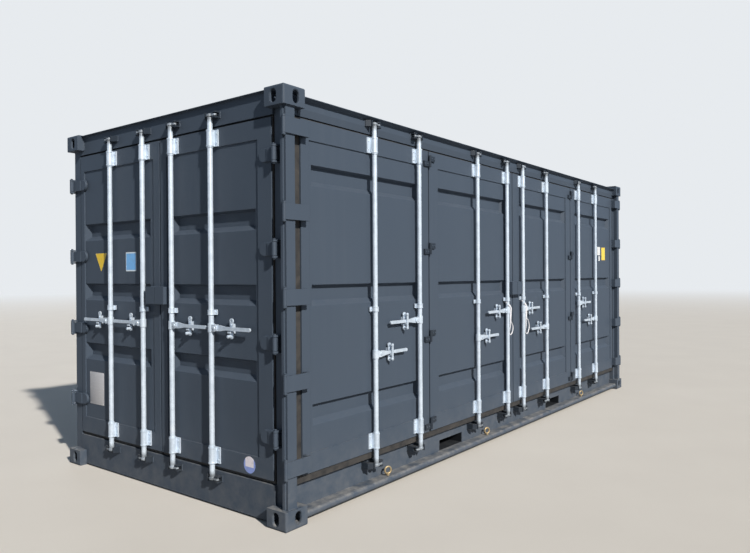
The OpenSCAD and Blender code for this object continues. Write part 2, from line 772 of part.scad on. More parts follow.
// Sheet with ribs pressed upwards, which stop short of the side rails
module roof_panel() color(paint) difference() {
    union() {
        block([-roof_half_x, -roof_half_y, side_rail_high],
              [roof_rear_x, roof_half_y, side_rail_high + sheet]);
        for (x = roof_ribs) translate([x, 0, side_rail_high + sheet - eps])
            pressing(roof_pitch * rib_share, 2 * roof_rib_y, roof_wave, roof_wave);
    }
    for (x = roof_ribs) translate([x, 0, side_rail_high - eps])
        pressing(roof_pitch * rib_share - 2 * sheet, 2 * (roof_rib_y - sheet), roof_wave, roof_wave);
    for (ex = [-1, 1], ey = [-1, 1]) at_corner(ex, ey)
        block([-1, -1, side_rail_high - 1], [casting_x + 1, casting_y + 1, height]);
}

floor_low = floor_top - floor_t;
inner_y_side = -hw + side_sill_depth + rail_deep;
inner_y_wall = hw - post_y;

module floor_boards() color([0.45, 0.32, 0.22]) {
    board = (inner_y_wall - inner_y_side) / 8;
    for (i = [0:7]) block([-hl + stop_depth + stop_t + 8, inner_y_side + i * board + 2, floor_low],
                          [hl - skin_depth - 70, inner_y_side + (i + 1) * board - 2, floor_top]);
}

cross_from = -casting_in_x + 1;
cross_to = casting_in_x - cross_w - 1;
cross_step = (cross_to - cross_from) / (cross_count - 1);

pocket_clear = fork_w / 2 + cross_w;
function clear_of_pockets(x) =
    min([for (p = pocket_xs) abs(x + cross_w / 2 - p)]) >= pocket_clear;

module cross_members() color(paint)
    for (i = [0:cross_count - 1]) let (x = cross_from + i * cross_step) if (clear_of_pockets(x))
        translate([x, inner_y_wall, floor_low - cross_h]) rotate([90, 0, 0])
            linear_extrude(inner_y_wall - inner_y_side) difference() {
                square([cross_w, cross_h]);
                translate([cross_t, cross_t]) square([cross_w, cross_h - 2 * cross_t]);
            }

module fork_pockets() color(paint) for (x = pocket_xs) difference() {
    low_y = -hw + side_sill_depth + sill_wall + eps;
    high_y = hw - skin_depth - rail_wall;
    block([x - fork_w / 2 - cross_t, low_y, fork_low - cross_t],
          [x + fork_w / 2 + cross_t, high_y, floor_low]);
    block([x - fork_w / 2, low_y - 1, fork_low], [x + fork_w / 2, high_y + 1, fork_low + fork_h]);
}

// Space of a pressed groove from y0 to y1 below height z, grown by t on all sides
module groove_space(y0, y1, z, t) intersection() {
    front = panel_depth - 1;
    deep = panel_depth + groove + t;
    low = z - groove_h - t;
    high = z + t;
    translate([0, y1 + t, 0]) rotate([90, 0, 0]) linear_extrude(y1 - y0 + 2 * t)
        polygon([[front, low], [panel_depth, low], [deep, low + groove_slope], [deep, high - groove_top],
                 [panel_depth, high], [front, high]]);
    translate([0, 0, low]) linear_extrude(groove_h + 2 * t)
        polygon([[front, y0 - t], [panel_depth, y0 - t], [deep, y0 - t + groove_slope],
                 [deep, y1 + t - groove_slope], [panel_depth, y1 + t], [front, y1 + t]]);
}

// A leaf drawn from its hinge edge: y runs from 0 to its width
module leaf(w, stile_a, stile_b, margin_a, margin_b, low, grooves) {
    back = leaf_depth + leaf_t;
    z0 = low + leaf_bar;
    z1 = leaf_high - leaf_bar;
    difference() {
        block([leaf_depth, 0, low], [back, w, leaf_high]);
        block([leaf_depth - 1, stile_a, z0], [back + 1, w - stile_b, z1]);
    }
    difference() {
        union() {
            block([panel_depth, stile_a - eps, z0 - eps],
                  [panel_depth + panel_sheet, w - stile_b + eps, z1 + eps]);
            for (z = grooves) groove_space(margin_a, w - margin_b, z, panel_sheet);
        }
        block([panel_depth - 2, 0, low], [panel_depth, w, leaf_high]);
        for (z = grooves) groove_space(margin_a, w - margin_b, z, 0);
    }
}

// The rubber frame on a leaf: a flat back and a lip round the leaf's edges
module seal(w, low, reach_a, reach_b, below) {
    back = leaf_depth + leaf_t;
    difference() {
        block([lip_depth, -reach_a, low - below], [back + seal_t, w + reach_b, leaf_high + seal_over]);
        block([lip_depth - 1, 0, low], [back, w, leaf_high]);
        block([back - 1, seal_flat, low + seal_flat],
              [back + seal_t + 1, w - seal_flat, leaf_high - seal_flat]);
    }
}

wall_leaf_w = wall_jamb - jamb_gap - end_split - leaf_gap / 2;
side_leaf_w = end_split - leaf_gap / 2 - side_jamb - jamb_gap;
outer_leaf_w = side_leaf_end - fold_x - leaf_gap / 2;
inner_leaf_w = fold_x - leaf_gap;

module end_leaf_wall() color(paint) on_end(wall_jamb - jamb_gap, -1)
    leaf(wall_leaf_w, end_wall_stile, end_free_stile, end_wall_margin, end_free_margin,
         end_leaf_low, end_grooves);
module end_leaf_side() color(paint) on_end(side_jamb + jamb_gap, 1)
    leaf(side_leaf_w, end_side_stile, end_free_stile, end_side_margin, end_free_margin,
         end_leaf_low, end_grooves);
module end_seal_wall() color("black") on_end(wall_jamb - jamb_gap, -1)
    seal(wall_leaf_w, end_leaf_low, seal_reach, 1, seal_under);
module end_seal_side() color("black") on_end(side_jamb + jamb_gap, 1)
    seal(side_leaf_w, end_leaf_low, seal_reach, 1, seal_under);

module outer_leaf() leaf(outer_leaf_w, side_post_stile, side_fold_stile, side_post_margin, side_fold_stile,
                         side_leaf_low, side_grooves);
module inner_leaf() leaf(inner_leaf_w, side_fold_stile, side_free_stile, side_fold_stile, side_free_stile,
                         side_leaf_low, side_grooves);
module side_leaf_1() color(paint) on_side(-side_leaf_end, 1) outer_leaf();
module side_leaf_2() color(paint) on_side(-fold_x + leaf_gap / 2, 1) inner_leaf();
module side_leaf_3() color(paint) on_side(fold_x - leaf_gap / 2, -1) inner_leaf();
module side_leaf_4() color(paint) on_side(side_leaf_end, -1) outer_leaf();
module side_seals() color("black") for (d = [-1, 1]) {
    meet = leaf_gap / 2 - 0.3;
    on_side(-d * side_leaf_end, d)
        seal(outer_leaf_w, side_leaf_low, side_jamb_gap - 2, meet, side_seal_under);
    on_side(-d * (fold_x - leaf_gap / 2), d)
        seal(inner_leaf_w, side_leaf_low, meet, meet, side_seal_under);
}

hub_reach = pivot_reach + ear_r;
pin_hole_r = lift_pin_r + 0.5;
ear_t = hub_w / 2 - handle_t / 2 - ear_gap;
saddle_r = rod_r + rod_clear + saddle_t;

// A cam: round forged head with a nose along the handle
module cam() {
    arm = cam_reach - cam_nose_r;
    half = cam_nose_r - 1;
    cylinder(r = rod_r + rod_ring, h = cam_t);
    translate([-half, 0, 0]) cube([2 * half, arm, cam_t]);
    translate([0, arm, 0]) cylinder(r = cam_nose_r, h = cam_t);
    translate([0, 0, cam_t - eps]) cylinder(r1 = rod_r - 2, r2 = rod_r - cam_cap, h = cam_cap);
    translate([0, 0, eps - cam_flare]) cylinder(r1 = rod_r - 0.5, r2 = rod_r + rod_ring - 1, h = cam_flare);
}

// Hub: a sleeve on the rod with two rounded ears, which hold the handle's pin
module hub() {
    translate([0, 0, -hub_h / 2]) cylinder(r = rod_r + rod_ring, h = hub_h);
    for (side = [-1, 1]) {
        inner = side > 0 ? hub_w / 2 - ear_t : -hub_w / 2;
        block([inner, 0, 1 - ear_r], [inner + ear_t, pivot_reach, ear_r - 1]);
        translate([inner, pivot_reach, 0]) rotate([0, 90, 0]) cylinder(r = ear_r, h = ear_t);
    }
    translate([-hub_w / 2 - lift_pin_out, pivot_reach, 0]) rotate([0, 90, 0])
        cylinder(r = lift_pin_r, h = hub_w + lift_pin_out);
}

module rod(handle_z, bottom_guide) translate([rod_depth, 0, 0]) {
    end = cam_flare + cam_gap;
    translate([0, 0, rod_low + end]) cylinder(r = rod_r, h = rod_high - rod_low - 2 * end);
    translate([0, 0, rod_high]) cam();
    translate([0, 0, rod_low]) mirror([0, 0, 1]) cam();
    for (z = [leaf_high - guide_in_top - guide_h - collar_h - collar_gap,
              bottom_guide + guide_h + collar_gap])
        translate([0, 0, z]) cylinder(r = rod_r + collar_t, h = collar_h);
    translate([0, 0, handle_z]) hub();
}

// A flat handle that swings up on the pin between the hub's ears
module handle(handle_z) {
    root_r = handle_root / 2;
    grip_r = handle_grip / 2;
    low = rod_depth - handle_t / 2;
    tip = handle_reach - grip_r;
    translate([0, 0, handle_z]) difference() {
        union() {
            translate([low, pivot_reach, 0]) rotate([0, 90, 0]) cylinder(r = root_r, h = handle_t);
            translate([low, tip, 0]) rotate([0, 90, 0]) cylinder(r = grip_r, h = handle_t);
            upright_plate(low, handle_t)
                polygon([[pivot_reach, root_r - 1], [pivot_reach + handle_root, root_r - 1],
                         [handle_neck, grip_r - 1], [tip, grip_r - 1], [tip, 1 - grip_r],
                         [handle_neck, 1 - grip_r], [pivot_reach + handle_root, 1 - root_r],
                         [pivot_reach, 1 - root_r]]);
        }
        translate([low - 1, pivot_reach, 0]) rotate([0, 90, 0])
            cylinder(r = pin_hole_r, h = handle_t + 2);
    }
}

// Saddle that holds a rod to the leaf, on a plate of width w and height h
module guide(low, w, h, packer) {
    base = rod_depth + saddle_r - 2;
    lip = h / 12;
    difference() {
        union() {
            block([base, -w / 2, low], [leaf_depth, w / 2, low + h]);
            if (packer) block([leaf_depth - eps, -rod_r, low], [panel_depth, rod_r, low + h]);
            block([rod_depth, -saddle_r, low], [base + eps, saddle_r, low + h]);
            translate([rod_depth, 0, low]) cylinder(r = saddle_r, h = h);
            for (z = [low, low + h - lip])
                translate([rod_depth, 0, z]) cylinder(r = saddle_r + saddle_rim, h = lip);
        }
        translate([rod_depth, 0, low - 1]) cylinder(r = rod_r + rod_clear, h = h + 2);
    }
}

module guides(bottom_guide) {
    guide(bottom_guide, guide_w, guide_h, false);
    guide(leaf_high - guide_h - guide_in_top, guide_w, guide_h, false);
    guide(mid_guide_z - mid_guide_h / 2, mid_guide_w, mid_guide_h, true);
}

// Dog bone outline of a catch, from knob to knob
module dog_bone(depth, w, t) {
    upright_plate(depth, t) translate([catch_reach, 0]) square([w * 0.8, 2 * catch_knob], center = true);
    for (z = [-catch_knob, catch_knob])
        translate([depth, catch_reach, z]) rotate([0, 90, 0]) cylinder(d = w, h = t);
}

// Catch behind a handle: plate on a packer, seal eye above, ball below, ledge under the handle
module catch_plate(handle_z, closed) translate([0, 0, handle_z]) {
    front = rod_depth + handle_t / 2 + catch_gap;
    strap = rod_depth - handle_t / 2 - strap_gap - strap_t;
    rest = handle_grip / 2 + (closed ? 0.3 : 5.5);
    difference() {
        dog_bone(front, catch_w, catch_t);
        translate([front - 1, catch_reach, catch_knob]) rotate([0, 90, 0])
            cylinder(r = seal_eye_r, h = catch_t + 2);
    }
    block([front + catch_t - eps, catch_reach - catch_packer_w / 2, -catch_packer_h / 2],
          [panel_depth, catch_reach + catch_packer_w / 2, catch_packer_h / 2]);
    block([rod_depth - handle_t / 2 - 2, catch_reach - ledge_w / 2, -rest - ledge_t],
          [front + eps, catch_reach + ledge_w / 2, -rest]);
    translate([strap, catch_reach, -catch_knob]) rotate([0, 90, 0])
        cylinder(r = catch_ball_r, h = front - strap + eps);
    if (closed) {
        dog_bone(strap, catch_w * 0.7, strap_t);
        translate([strap, catch_reach, catch_knob]) rotate([0, 90, 0])
            cylinder(r = catch_pin_r, h = front - strap + catch_t);
    }
}

// Keeper for a cam: a foot on the face, jaws above and below the nose, a lug beside the rod
module keeper(face, cam_low) {
    jaw_in = rod_r + keeper_gap;
    jaw_out = cam_reach + keeper_over;
    foot = rod_depth + rod_r + keeper_back;
    tip = rod_depth - keeper_front;
    low = cam_low - cam_clear - jaw_t;
    high = cam_low + cam_t + cam_clear + jaw_t;
    block([foot, jaw_in, low], [face, jaw_out, high]);
    for (z = [low, high - jaw_t]) translate([0, 0, z]) linear_extrude(jaw_t)
        polygon([[foot + eps, jaw_in], [tip + jaw_cut, jaw_in], [tip, jaw_in + jaw_cut],
                 [tip, jaw_out - jaw_cut], [tip + jaw_cut, jaw_out], [foot + eps, jaw_out]]);
    translate([0, 0, low]) linear_extrude(high - low)
        polygon([[face, -jaw_in], [face, -jaw_out], [foot, -jaw_out],
                 [tip + jaw_cut, -jaw_in - jaw_t], [tip, -jaw_in - jaw_t], [tip, -jaw_in]]);
}

module end_keepers() color(paint) for (i = [0:3]) on_end(end_rods[i], end_dirs[i]) {
    keeper(rail_depth, rod_high);
    keeper(rail_depth, rod_low - cam_t);
}

module side_keepers() color(paint) for (i = [0:7]) on_side(side_rods_x[i], side_dirs[i]) {
    keeper(rail_depth, rod_high);
    keeper(side_sill_depth, rod_low - cam_t);
}

side_guide_low = side_leaf_low + guide_in_low;
end_guide_low = end_leaf_low + guide_in_low;

module side_rods() color(zinc) for (i = [0:7])
    on_side(side_rods_x[i], side_dirs[i]) rod(side_zs[i], side_guide_low);
module side_handles() color(zinc) for (i = [0:7]) on_side(side_rods_x[i], side_dirs[i]) handle(side_zs[i]);
module side_guides() color(zinc) for (i = [0:7]) on_side(side_rods_x[i], side_dirs[i])
    guides(side_guide_low);
module side_catches() color(zinc) for (i = [0:7]) on_side(side_rods_x[i], side_dirs[i])
    catch_plate(side_zs[i], true);

module end_rod_1() color(zinc) on_end(end_rods[0], end_dirs[0]) rod(end_handle_z, end_guide_low);
module end_rod_2() color(zinc) on_end(end_rods[1], end_dirs[1]) rod(end_handle_z, end_guide_low);
module end_rod_3() color(zinc) on_end(end_rods[2], end_dirs[2]) rod(end_handle_z, end_guide_low);
module end_rod_4() color(zinc) on_end(end_rods[3], end_dirs[3]) rod(end_handle_z, end_guide_low);
module end_handle_1() color(zinc) on_end(end_rods[0], end_dirs[0]) handle(end_handle_z);
module end_handle_2() color(zinc) on_end(end_rods[1], end_dirs[1]) handle(end_handle_z);
module end_handle_3() color(zinc) on_end(end_rods[2], end_dirs[2]) handle(end_handle_z);
module end_handle_4() color(zinc) on_end(end_rods[3], end_dirs[3]) handle(end_handle_z);
module end_guides_wall() color(zinc) for (i = [0, 1]) on_end(end_rods[i], 1)
    guides(end_guide_low);
module end_guides_side() color(zinc) for (i = [2, 3]) on_end(end_rods[i], -1)
    guides(end_guide_low);
module end_catches_wall() color(zinc) for (i = [0, 1]) on_end(end_rods[i], 1)
    catch_plate(end_handle_z, false);
module end_catches_side() color(zinc) for (i = [2, 3]) on_end(end_rods[i], -1)
    catch_plate(end_handle_z, false);

// Hinge plates on the leaf with their knuckles, drawn from the pin towards the leaf
module blade(reach, edge) {
    front = leaf_depth - blade_t;
    round_r = blade_h / 2;
    for (z = end_hinge_zs) difference() {
        union() {
            block([front, -8, 1 - round_r + z], [leaf_depth, reach - round_r, z + round_r - 1]);
            translate([front, reach - round_r, z]) rotate([0, 90, 0]) cylinder(r = round_r, h = blade_t);
            block([pin_depth, -8, z - round_r], [front + eps, 8, z + round_r]);
            translate([pin_depth, 0, z - round_r]) cylinder(r = knuckle_r, h = blade_h);
            block([front - 5, -8, z - round_r], [front + eps, edge, z + round_r]);
        }
        translate([pin_depth, 0, z - blade_h]) cylinder(r = pin_r + 0.5, h = 2 * blade_h);
    }
}

// Lugs on the post above and below each knuckle, with the pin through them
module lugs(face) for (z = end_hinge_zs) {
    reach = blade_h / 2 + lug_gap;
    for (s = [-1, 1]) {
        low = s > 0 ? z + reach : z - reach - lug_t;
        translate([pin_depth, 0, low]) cylinder(r = knuckle_r, h = lug_t);
        block([pin_depth, -knuckle_r, low], [face, knuckle_r, low + lug_t]);
    }
    translate([pin_depth, 0, z - reach - lug_t - pin_over])
        cylinder(r = pin_r, h = 2 * (reach + lug_t + pin_over));
}

wall_pin = hw - wall_pin_y;
side_pin = -hw + side_pin_y;

module end_blades_wall() color(paint) on_end(wall_pin, -1)
    blade(wall_pin - wall_jamb + jamb_gap + blade_over, wall_pin - wall_jamb + jamb_gap + 20);
module end_blades_side() color(paint) on_end(side_pin, 1)
    blade(side_jamb + jamb_gap - side_pin + blade_over, side_jamb + jamb_gap - side_pin + 20);
module end_hinge_lugs() color(paint) {
    on_end(wall_pin, -1) lugs(leaf_depth + 4);
    on_end(side_pin, 1) lugs(notch_depth);
}

// Side hinges turn on pins at the container's corners
side_lug_t = 10;
side_lug_gap = 1;
side_blade_end = post_x + side_jamb_gap + side_blade_over;

module side_hinge_lugs() color(paint) for (ex = [-1, 1]) at_corner(ex, -1) for (z = side_hinge_zs) {
    reach = side_blade_h / 2 + side_lug_gap;
    for (s = [-1, 1]) {
        low = s > 0 ? z + reach : z - reach - side_lug_t;
        translate([corner_pin, corner_pin, low]) cylinder(r = corner_knuckle_r, h = side_lug_t);
        block([corner_pin, corner_pin - 2, low],
              [edge_step_w, corner_pin + corner_knuckle_r, low + side_lug_t]);
    }
    translate([corner_pin, corner_pin, z - reach - side_lug_t - 2])
        cylinder(r = side_pin_r, h = 2 * (reach + side_lug_t + 2));
}

module side_hinge_blades() color(paint) for (ex = [-1, 1]) at_corner(ex, -1) for (z = side_hinge_zs)
    difference() {
        low = z - side_blade_h / 2;
        high = z + side_blade_h / 2;
        union() {
            block([corner_pin, corner_pin - corner_knuckle_r - 2, low],
                  [side_blade_end, skin_depth - 1, high]);
            block([post_x + side_jamb_gap + 4, corner_pin - corner_knuckle_r, low],
                  [side_blade_end, leaf_depth, high]);
            translate([corner_pin, corner_pin, low]) cylinder(r = corner_knuckle_r, h = side_blade_h);
        }
        translate([corner_pin, corner_pin, z - side_blade_h])
            cylinder(r = side_pin_r + 0.5, h = 2 * side_blade_h);
    }

// Butt hinges between two folding leaves, each with a knuckle for either leaf
module fold_hinges() color(paint) for (x = [-fold_x, fold_x], i = [0:3]) on_side(x, 1) {
    z = fold_hinge_low + i * fold_hinge_pitch;
    half = fold_hinge_h / 2;
    tall = half - fold_hinge_gap;
    translate([fold_pin_depth, 0, z - half]) cylinder(r = fold_knuckle_r, h = fold_hinge_h);
    for (s = [-1, 1]) {
        low = s > 0 ? z + fold_hinge_gap / 2 : z - half + fold_hinge_gap / 2;
        hand(s) {
            block([fold_pin_depth, 0, low], [leaf_depth - 2, fold_hinge_arm, low + tall]);
            block([fold_pin_depth, fold_hinge_arm / 2, low], [leaf_depth, fold_hinge_arm, low + tall]);
        }
    }
}

// Half of the padlock housing over a meeting line, open below and towards the line
module lock_half() difference() {
    high = lock_box_low + lock_box_h;
    block([lock_box_front, lock_box_seam, lock_box_low], [leaf_depth, lock_box_w, high]);
    block([lock_box_front + lock_box_t, -1, lock_box_low - 1],
          [leaf_depth - lock_box_t, lock_box_w - lock_box_t, high - lock_box_t]);
}

module end_lock_box_wall() color(paint) on_end(end_split, 1) lock_half();
module end_lock_box_side() color(paint) on_end(end_split, -1) lock_half();
module side_lock_box() color(paint) for (s = [-1, 1]) on_side(0, s) lock_half();

bottom_castings();
top_castings();
door_post_wall();
door_post_side();
rear_post_wall();
rear_post_side();
door_header();
door_sill();
side_top_rail();
side_bottom_rail();
wall_top_rail();
wall_bottom_rail();
rear_header();
rear_sill();
roof_panel();
wall_panel();
rear_panel();
floor_boards();
cross_members();
fork_pockets();
end_keepers();
side_keepers();
tie_rings();
end_hinge_lugs();
side_hinge_lugs();
side_leaf_1();
side_leaf_2();
side_leaf_3();
side_leaf_4();
side_hinge_blades();
fold_hinges();
side_seals();
side_rods();
side_handles();
side_guides();
side_catches();
side_lock_box();
end_leaf_wall();
end_blades_wall();
end_guides_wall();
end_catches_wall();
end_seal_wall();
end_leaf_side();
end_blades_side();
end_guides_side();
end_catches_side();
end_seal_side();
end_lock_box_wall();
end_lock_box_side();
end_rod_1();
end_rod_2();
end_rod_3();
end_rod_4();
end_handle_1();
end_handle_2();
end_handle_3();
end_handle_4();
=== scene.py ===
import math
import random

import bmesh
import bpy
from mathutils import Matrix, Vector


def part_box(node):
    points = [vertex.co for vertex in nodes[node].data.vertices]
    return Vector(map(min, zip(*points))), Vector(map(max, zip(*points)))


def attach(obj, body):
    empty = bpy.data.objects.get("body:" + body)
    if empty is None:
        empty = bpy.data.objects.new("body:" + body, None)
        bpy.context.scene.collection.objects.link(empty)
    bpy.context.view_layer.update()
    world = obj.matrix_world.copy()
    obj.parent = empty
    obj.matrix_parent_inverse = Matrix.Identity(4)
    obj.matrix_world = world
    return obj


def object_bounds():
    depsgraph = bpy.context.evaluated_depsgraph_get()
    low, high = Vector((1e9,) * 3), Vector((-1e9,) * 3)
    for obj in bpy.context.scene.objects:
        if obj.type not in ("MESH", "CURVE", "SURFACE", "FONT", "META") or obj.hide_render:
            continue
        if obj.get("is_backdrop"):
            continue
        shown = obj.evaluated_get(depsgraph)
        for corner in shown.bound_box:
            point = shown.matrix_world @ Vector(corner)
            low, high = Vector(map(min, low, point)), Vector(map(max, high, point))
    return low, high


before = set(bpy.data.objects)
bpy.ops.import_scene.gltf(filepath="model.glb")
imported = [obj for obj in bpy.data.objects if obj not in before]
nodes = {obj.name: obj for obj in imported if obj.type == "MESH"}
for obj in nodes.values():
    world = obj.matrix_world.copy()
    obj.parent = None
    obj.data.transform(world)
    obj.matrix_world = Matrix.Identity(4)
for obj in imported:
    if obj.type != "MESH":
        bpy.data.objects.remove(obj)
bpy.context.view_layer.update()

scene = bpy.context.scene
scene.view_settings.view_transform = "Standard"

# Camera: stands at eye height off the corner between the door end and the folding side,
# a moderate wide angle held level, as in the photograph.
picture_width = 750
focal_pixels = 664.1
sensor_width = 36.0
camera_place = Vector((-5.7216, -3.953, 1.4886))
heading = math.radians(52.319)
pitch = math.radians(-0.216)
roll = math.radians(-0.359)
camera_data = bpy.data.cameras.new("camera")
camera_data.sensor_width = sensor_width
camera_data.lens = focal_pixels / picture_width * sensor_width
camera = bpy.data.objects.new("camera", camera_data)
camera.matrix_world = (Matrix.Translation(camera_place) @ Matrix.Rotation(-heading, 4, "Z")
                       @ Matrix.Rotation(math.pi / 2 + pitch, 4, "X")
                       @ Matrix.Rotation(roll, 4, "Z"))
scene.collection.objects.link(camera)
scene.camera = camera


# Floor and studio: a pale plain floor that fades into a pale backdrop far away, a key lamp at
# the height of the photograph's sun, a weak broad fill level with the ground from behind, and
# an even surround, bluish as the sky.
def node(tree, kind, inputs=None, **settings):
    made = tree.nodes.new("ShaderNode" + kind)
    for name, value in settings.items():
        setattr(made, name, value)
    for name, value in (inputs or {}).items():
        if isinstance(value, bpy.types.NodeSocket):
            tree.links.new(value, made.inputs[name])
        else:
            made.inputs[name].default_value = value
    return made


def mixed(tree, factor, first, second):
    mix = node(tree, "Mix", data_type="RGBA")
    for socket, value in ((mix.inputs[0], factor), (mix.inputs[6], first), (mix.inputs[7], second)):
        if isinstance(value, bpy.types.NodeSocket):
            tree.links.new(value, socket)
        else:
            socket.default_value = value
    return mix.outputs[2]


def noise(tree, place, scale, detail, **more):
    made = node(tree, "TexNoise", {"Vector": place, "Scale": scale, "Detail": detail, **more})
    return made.outputs["Fac"]


def spread(tree, value, low, high, least=0.0, most=1.0, **settings):
    made = node(tree, "MapRange", {"Value": value, "From Min": low, "From Max": high,
                                   "To Min": least, "To Max": most}, **settings)
    return made.outputs["Result"]


def reckoned(tree, operation, *values, **settings):
    made = node(tree, "Math", dict(enumerate(values)), operation=operation, **settings)
    return made.outputs["Value"]


def new_material(name):
    material = bpy.data.materials.new(name)
    material.use_nodes = True
    tree = material.node_tree
    return material, tree, tree.nodes["Principled BSDF"]


backdrop_colour = (0.80, 0.83, 0.86, 1)
floor_colour = (0.77, 0.725, 0.66, 1)
floor_stain = (0.71, 0.665, 0.605, 1)
floor_bounce = (0.36, 0.35, 0.335, 1)
fade_from, fade_to = 14.0, 60.0
floor_radius, floor_sides = 300, 96
floor_mesh = bpy.data.meshes.new("floor")
floor_bm = bmesh.new()
bmesh.ops.create_circle(floor_bm, cap_ends=True, radius=floor_radius, segments=floor_sides)
floor_bm.to_mesh(floor_mesh)
floor_bm.free()
floor = bpy.data.objects.new("floor", floor_mesh)
scene.collection.objects.link(floor)
floor_material, tree, floor_shader = new_material("pale_floor")
floor_shader.inputs["Roughness"].default_value = 0.85
place = node(tree, "TexCoord").outputs["Object"]
pale = mixed(tree, noise(tree, place, 1.3, 8.0), floor_colour, floor_stain)
seen = node(tree, "LightPath").outputs["Is Camera Ray"]
tree.links.new(mixed(tree, seen, floor_bounce, pale), floor_shader.inputs["Base Color"])
reach = node(tree, "VectorMath", {0: place}, operation="LENGTH").outputs["Value"]
fade = spread(tree, reach, fade_from, fade_to, interpolation_type="SMOOTHSTEP")
fade_seen = reckoned(tree, "MULTIPLY", fade, seen)
glow = node(tree, "Emission", {"Color": backdrop_colour, "Strength": 1.0}).outputs["Emission"]
blend = node(tree, "MixShader", {0: fade_seen, 1: floor_shader.outputs["BSDF"], 2: glow})
tree.links.new(blend.outputs["Shader"], tree.nodes["Material Output"].inputs["Surface"])
floor_mesh.materials.append(floor_material)
floor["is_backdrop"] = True

surround_colour = (0.52, 0.72, 1.0, 1)
surround_level = 0.125
reflected_level = 0.60
world = bpy.data.worlds.new("studio")
world.use_nodes = True
scene.world = world
tree = world.node_tree
paths = node(tree, "LightPath")
soft = node(tree, "Background", {"Color": surround_colour, "Strength": surround_level})
shown = node(tree, "Background", {"Color": backdrop_colour, "Strength": 1.0})
mirrored = node(tree, "Background", {"Color": surround_colour, "Strength": reflected_level})
shiny = reckoned(tree, "MAXIMUM", paths.outputs["Is Glossy Ray"],
                 paths.outputs["Is Transmission Ray"])
lit = node(tree, "MixShader", {0: shiny, 1: soft.outputs["Background"],
                               2: mirrored.outputs["Background"]})
whole = node(tree, "MixShader", {0: paths.outputs["Is Camera Ray"], 1: lit.outputs["Shader"],
                                 2: shown.outputs["Background"]})
tree.links.new(whole.outputs["Shader"], tree.nodes["World Output"].inputs["Surface"])

for name, towards, energy, softness, colour in (
        ("key", (-0.34, -0.94, 0.64), 4.4, 2.0, (1.0, 0.965, 0.91)),
        ("fill", (0.42, 0.88, 0.0), 1.3, 20.0, (0.86, 0.93, 1.0))):
    lamp_data = bpy.data.lights.new(name, "SUN")
    lamp_data.energy = energy
    lamp_data.angle = math.radians(softness)
    lamp_data.color = colour
    lamp = bpy.data.objects.new(name, lamp_data)
    lamp.rotation_euler = Vector(towards).to_track_quat("Z", "Y").to_euler()
    scene.collection.objects.link(lamp)


# Painted steel: anthracite marine paint, sprayed satin, faintly rippled over the sheet, with
# dust at the foot, dust and a painted highlight on upward faces, thin rain streaks and edges that
# catch the light. A shade below 1 darkens a copy of the coat to a painted shade.
paint_colour = (0.060, 0.080, 0.110, 1)
paint_worn = (0.074, 0.094, 0.125, 1)
road_dust_and_ledge_light = (0.25, 0.248, 0.245, 1)
paint_gleam = 0.26
edge_radius = 0.003


def relief(tree, height, strength, distance, below=None):
    made = node(tree, "Bump", {"Height": height, "Strength": strength, "Distance": distance})
    if below is not None:
        tree.links.new(below, made.inputs["Normal"])
    return made.outputs["Normal"]


def dress(tree, shader, colour, gloss, skin):
    for socket, value in (("Base Color", colour), ("Roughness", gloss), ("Normal", skin)):
        tree.links.new(value, shader.inputs[socket])


def painted_steel(name, ripple=0.35, dust_top=0.55, dust=0.34, rough=0.44, shade=1.0):
    material, tree, shader = new_material(name)
    shader.inputs["Specular IOR Level"].default_value = paint_gleam
    place = node(tree, "TexCoord").outputs["Object"]
    cloud = noise(tree, place, 1.4, 5.0)
    tall = node(tree, "Mapping", {"Vector": place, "Scale": (22.0, 22.0, 0.55)}).outputs["Vector"]
    streak = spread(tree, noise(tree, tall, 1.0, 4.0), 0.52, 0.78, most=0.30)
    film = reckoned(tree, "MULTIPLY_ADD", cloud, 0.55, streak)
    fresh, worn = ((*(shade * part for part in colour[:3]), 1)
                   for colour in (paint_colour, paint_worn))
    coat = mixed(tree, film, fresh, worn)
    height = node(tree, "SeparateXYZ", {"Vector": place}).outputs["Z"]
    low = spread(tree, height, dust_top, 0.0, most=dust, interpolation_type="SMOOTHSTEP")
    patch = spread(tree, noise(tree, place, 11.0, 9.0, Roughness=0.7), 0.36, 0.72)
    upward = node(tree, "SeparateXYZ", {"Vector": node(tree, "NewGeometry").outputs["Normal"]})
    # Upward faces take dust and a painted highlight: lighter where the light falls on a ledge.
    ledge_dust_and_light = spread(tree, upward.outputs["Z"], 0.3, 0.95)
    ledge_amount = reckoned(tree, "MULTIPLY_ADD", low, 3.0, 0.10)
    dust_and_ledge_light = reckoned(tree, "MULTIPLY_ADD", ledge_dust_and_light, ledge_amount, low)
    dust_and_highlight = reckoned(tree, "MULTIPLY", dust_and_ledge_light, patch, use_clamp=True)
    gloss = spread(tree, film, 0.0, 1.0, rough, rough + 0.14)
    edge = node(tree, "Bevel", {"Radius": edge_radius}, samples=4).outputs["Normal"]
    wave = relief(tree, noise(tree, place, 2.6, 1.0), ripple, 0.02, edge)
    peel = relief(tree, noise(tree, place, 420.0, 2.0), 0.12, 0.0008, wave)
    dress(tree, shader, mixed(tree, dust_and_highlight, coat, road_dust_and_ledge_light),
          reckoned(tree, "MULTIPLY_ADD", dust_and_highlight, 0.5, gloss), peel)
    return material


def coat_nodes(material, names):
    for name in names:
        mesh = nodes[name].data
        mesh.materials.clear()
        mesh.materials.append(material)


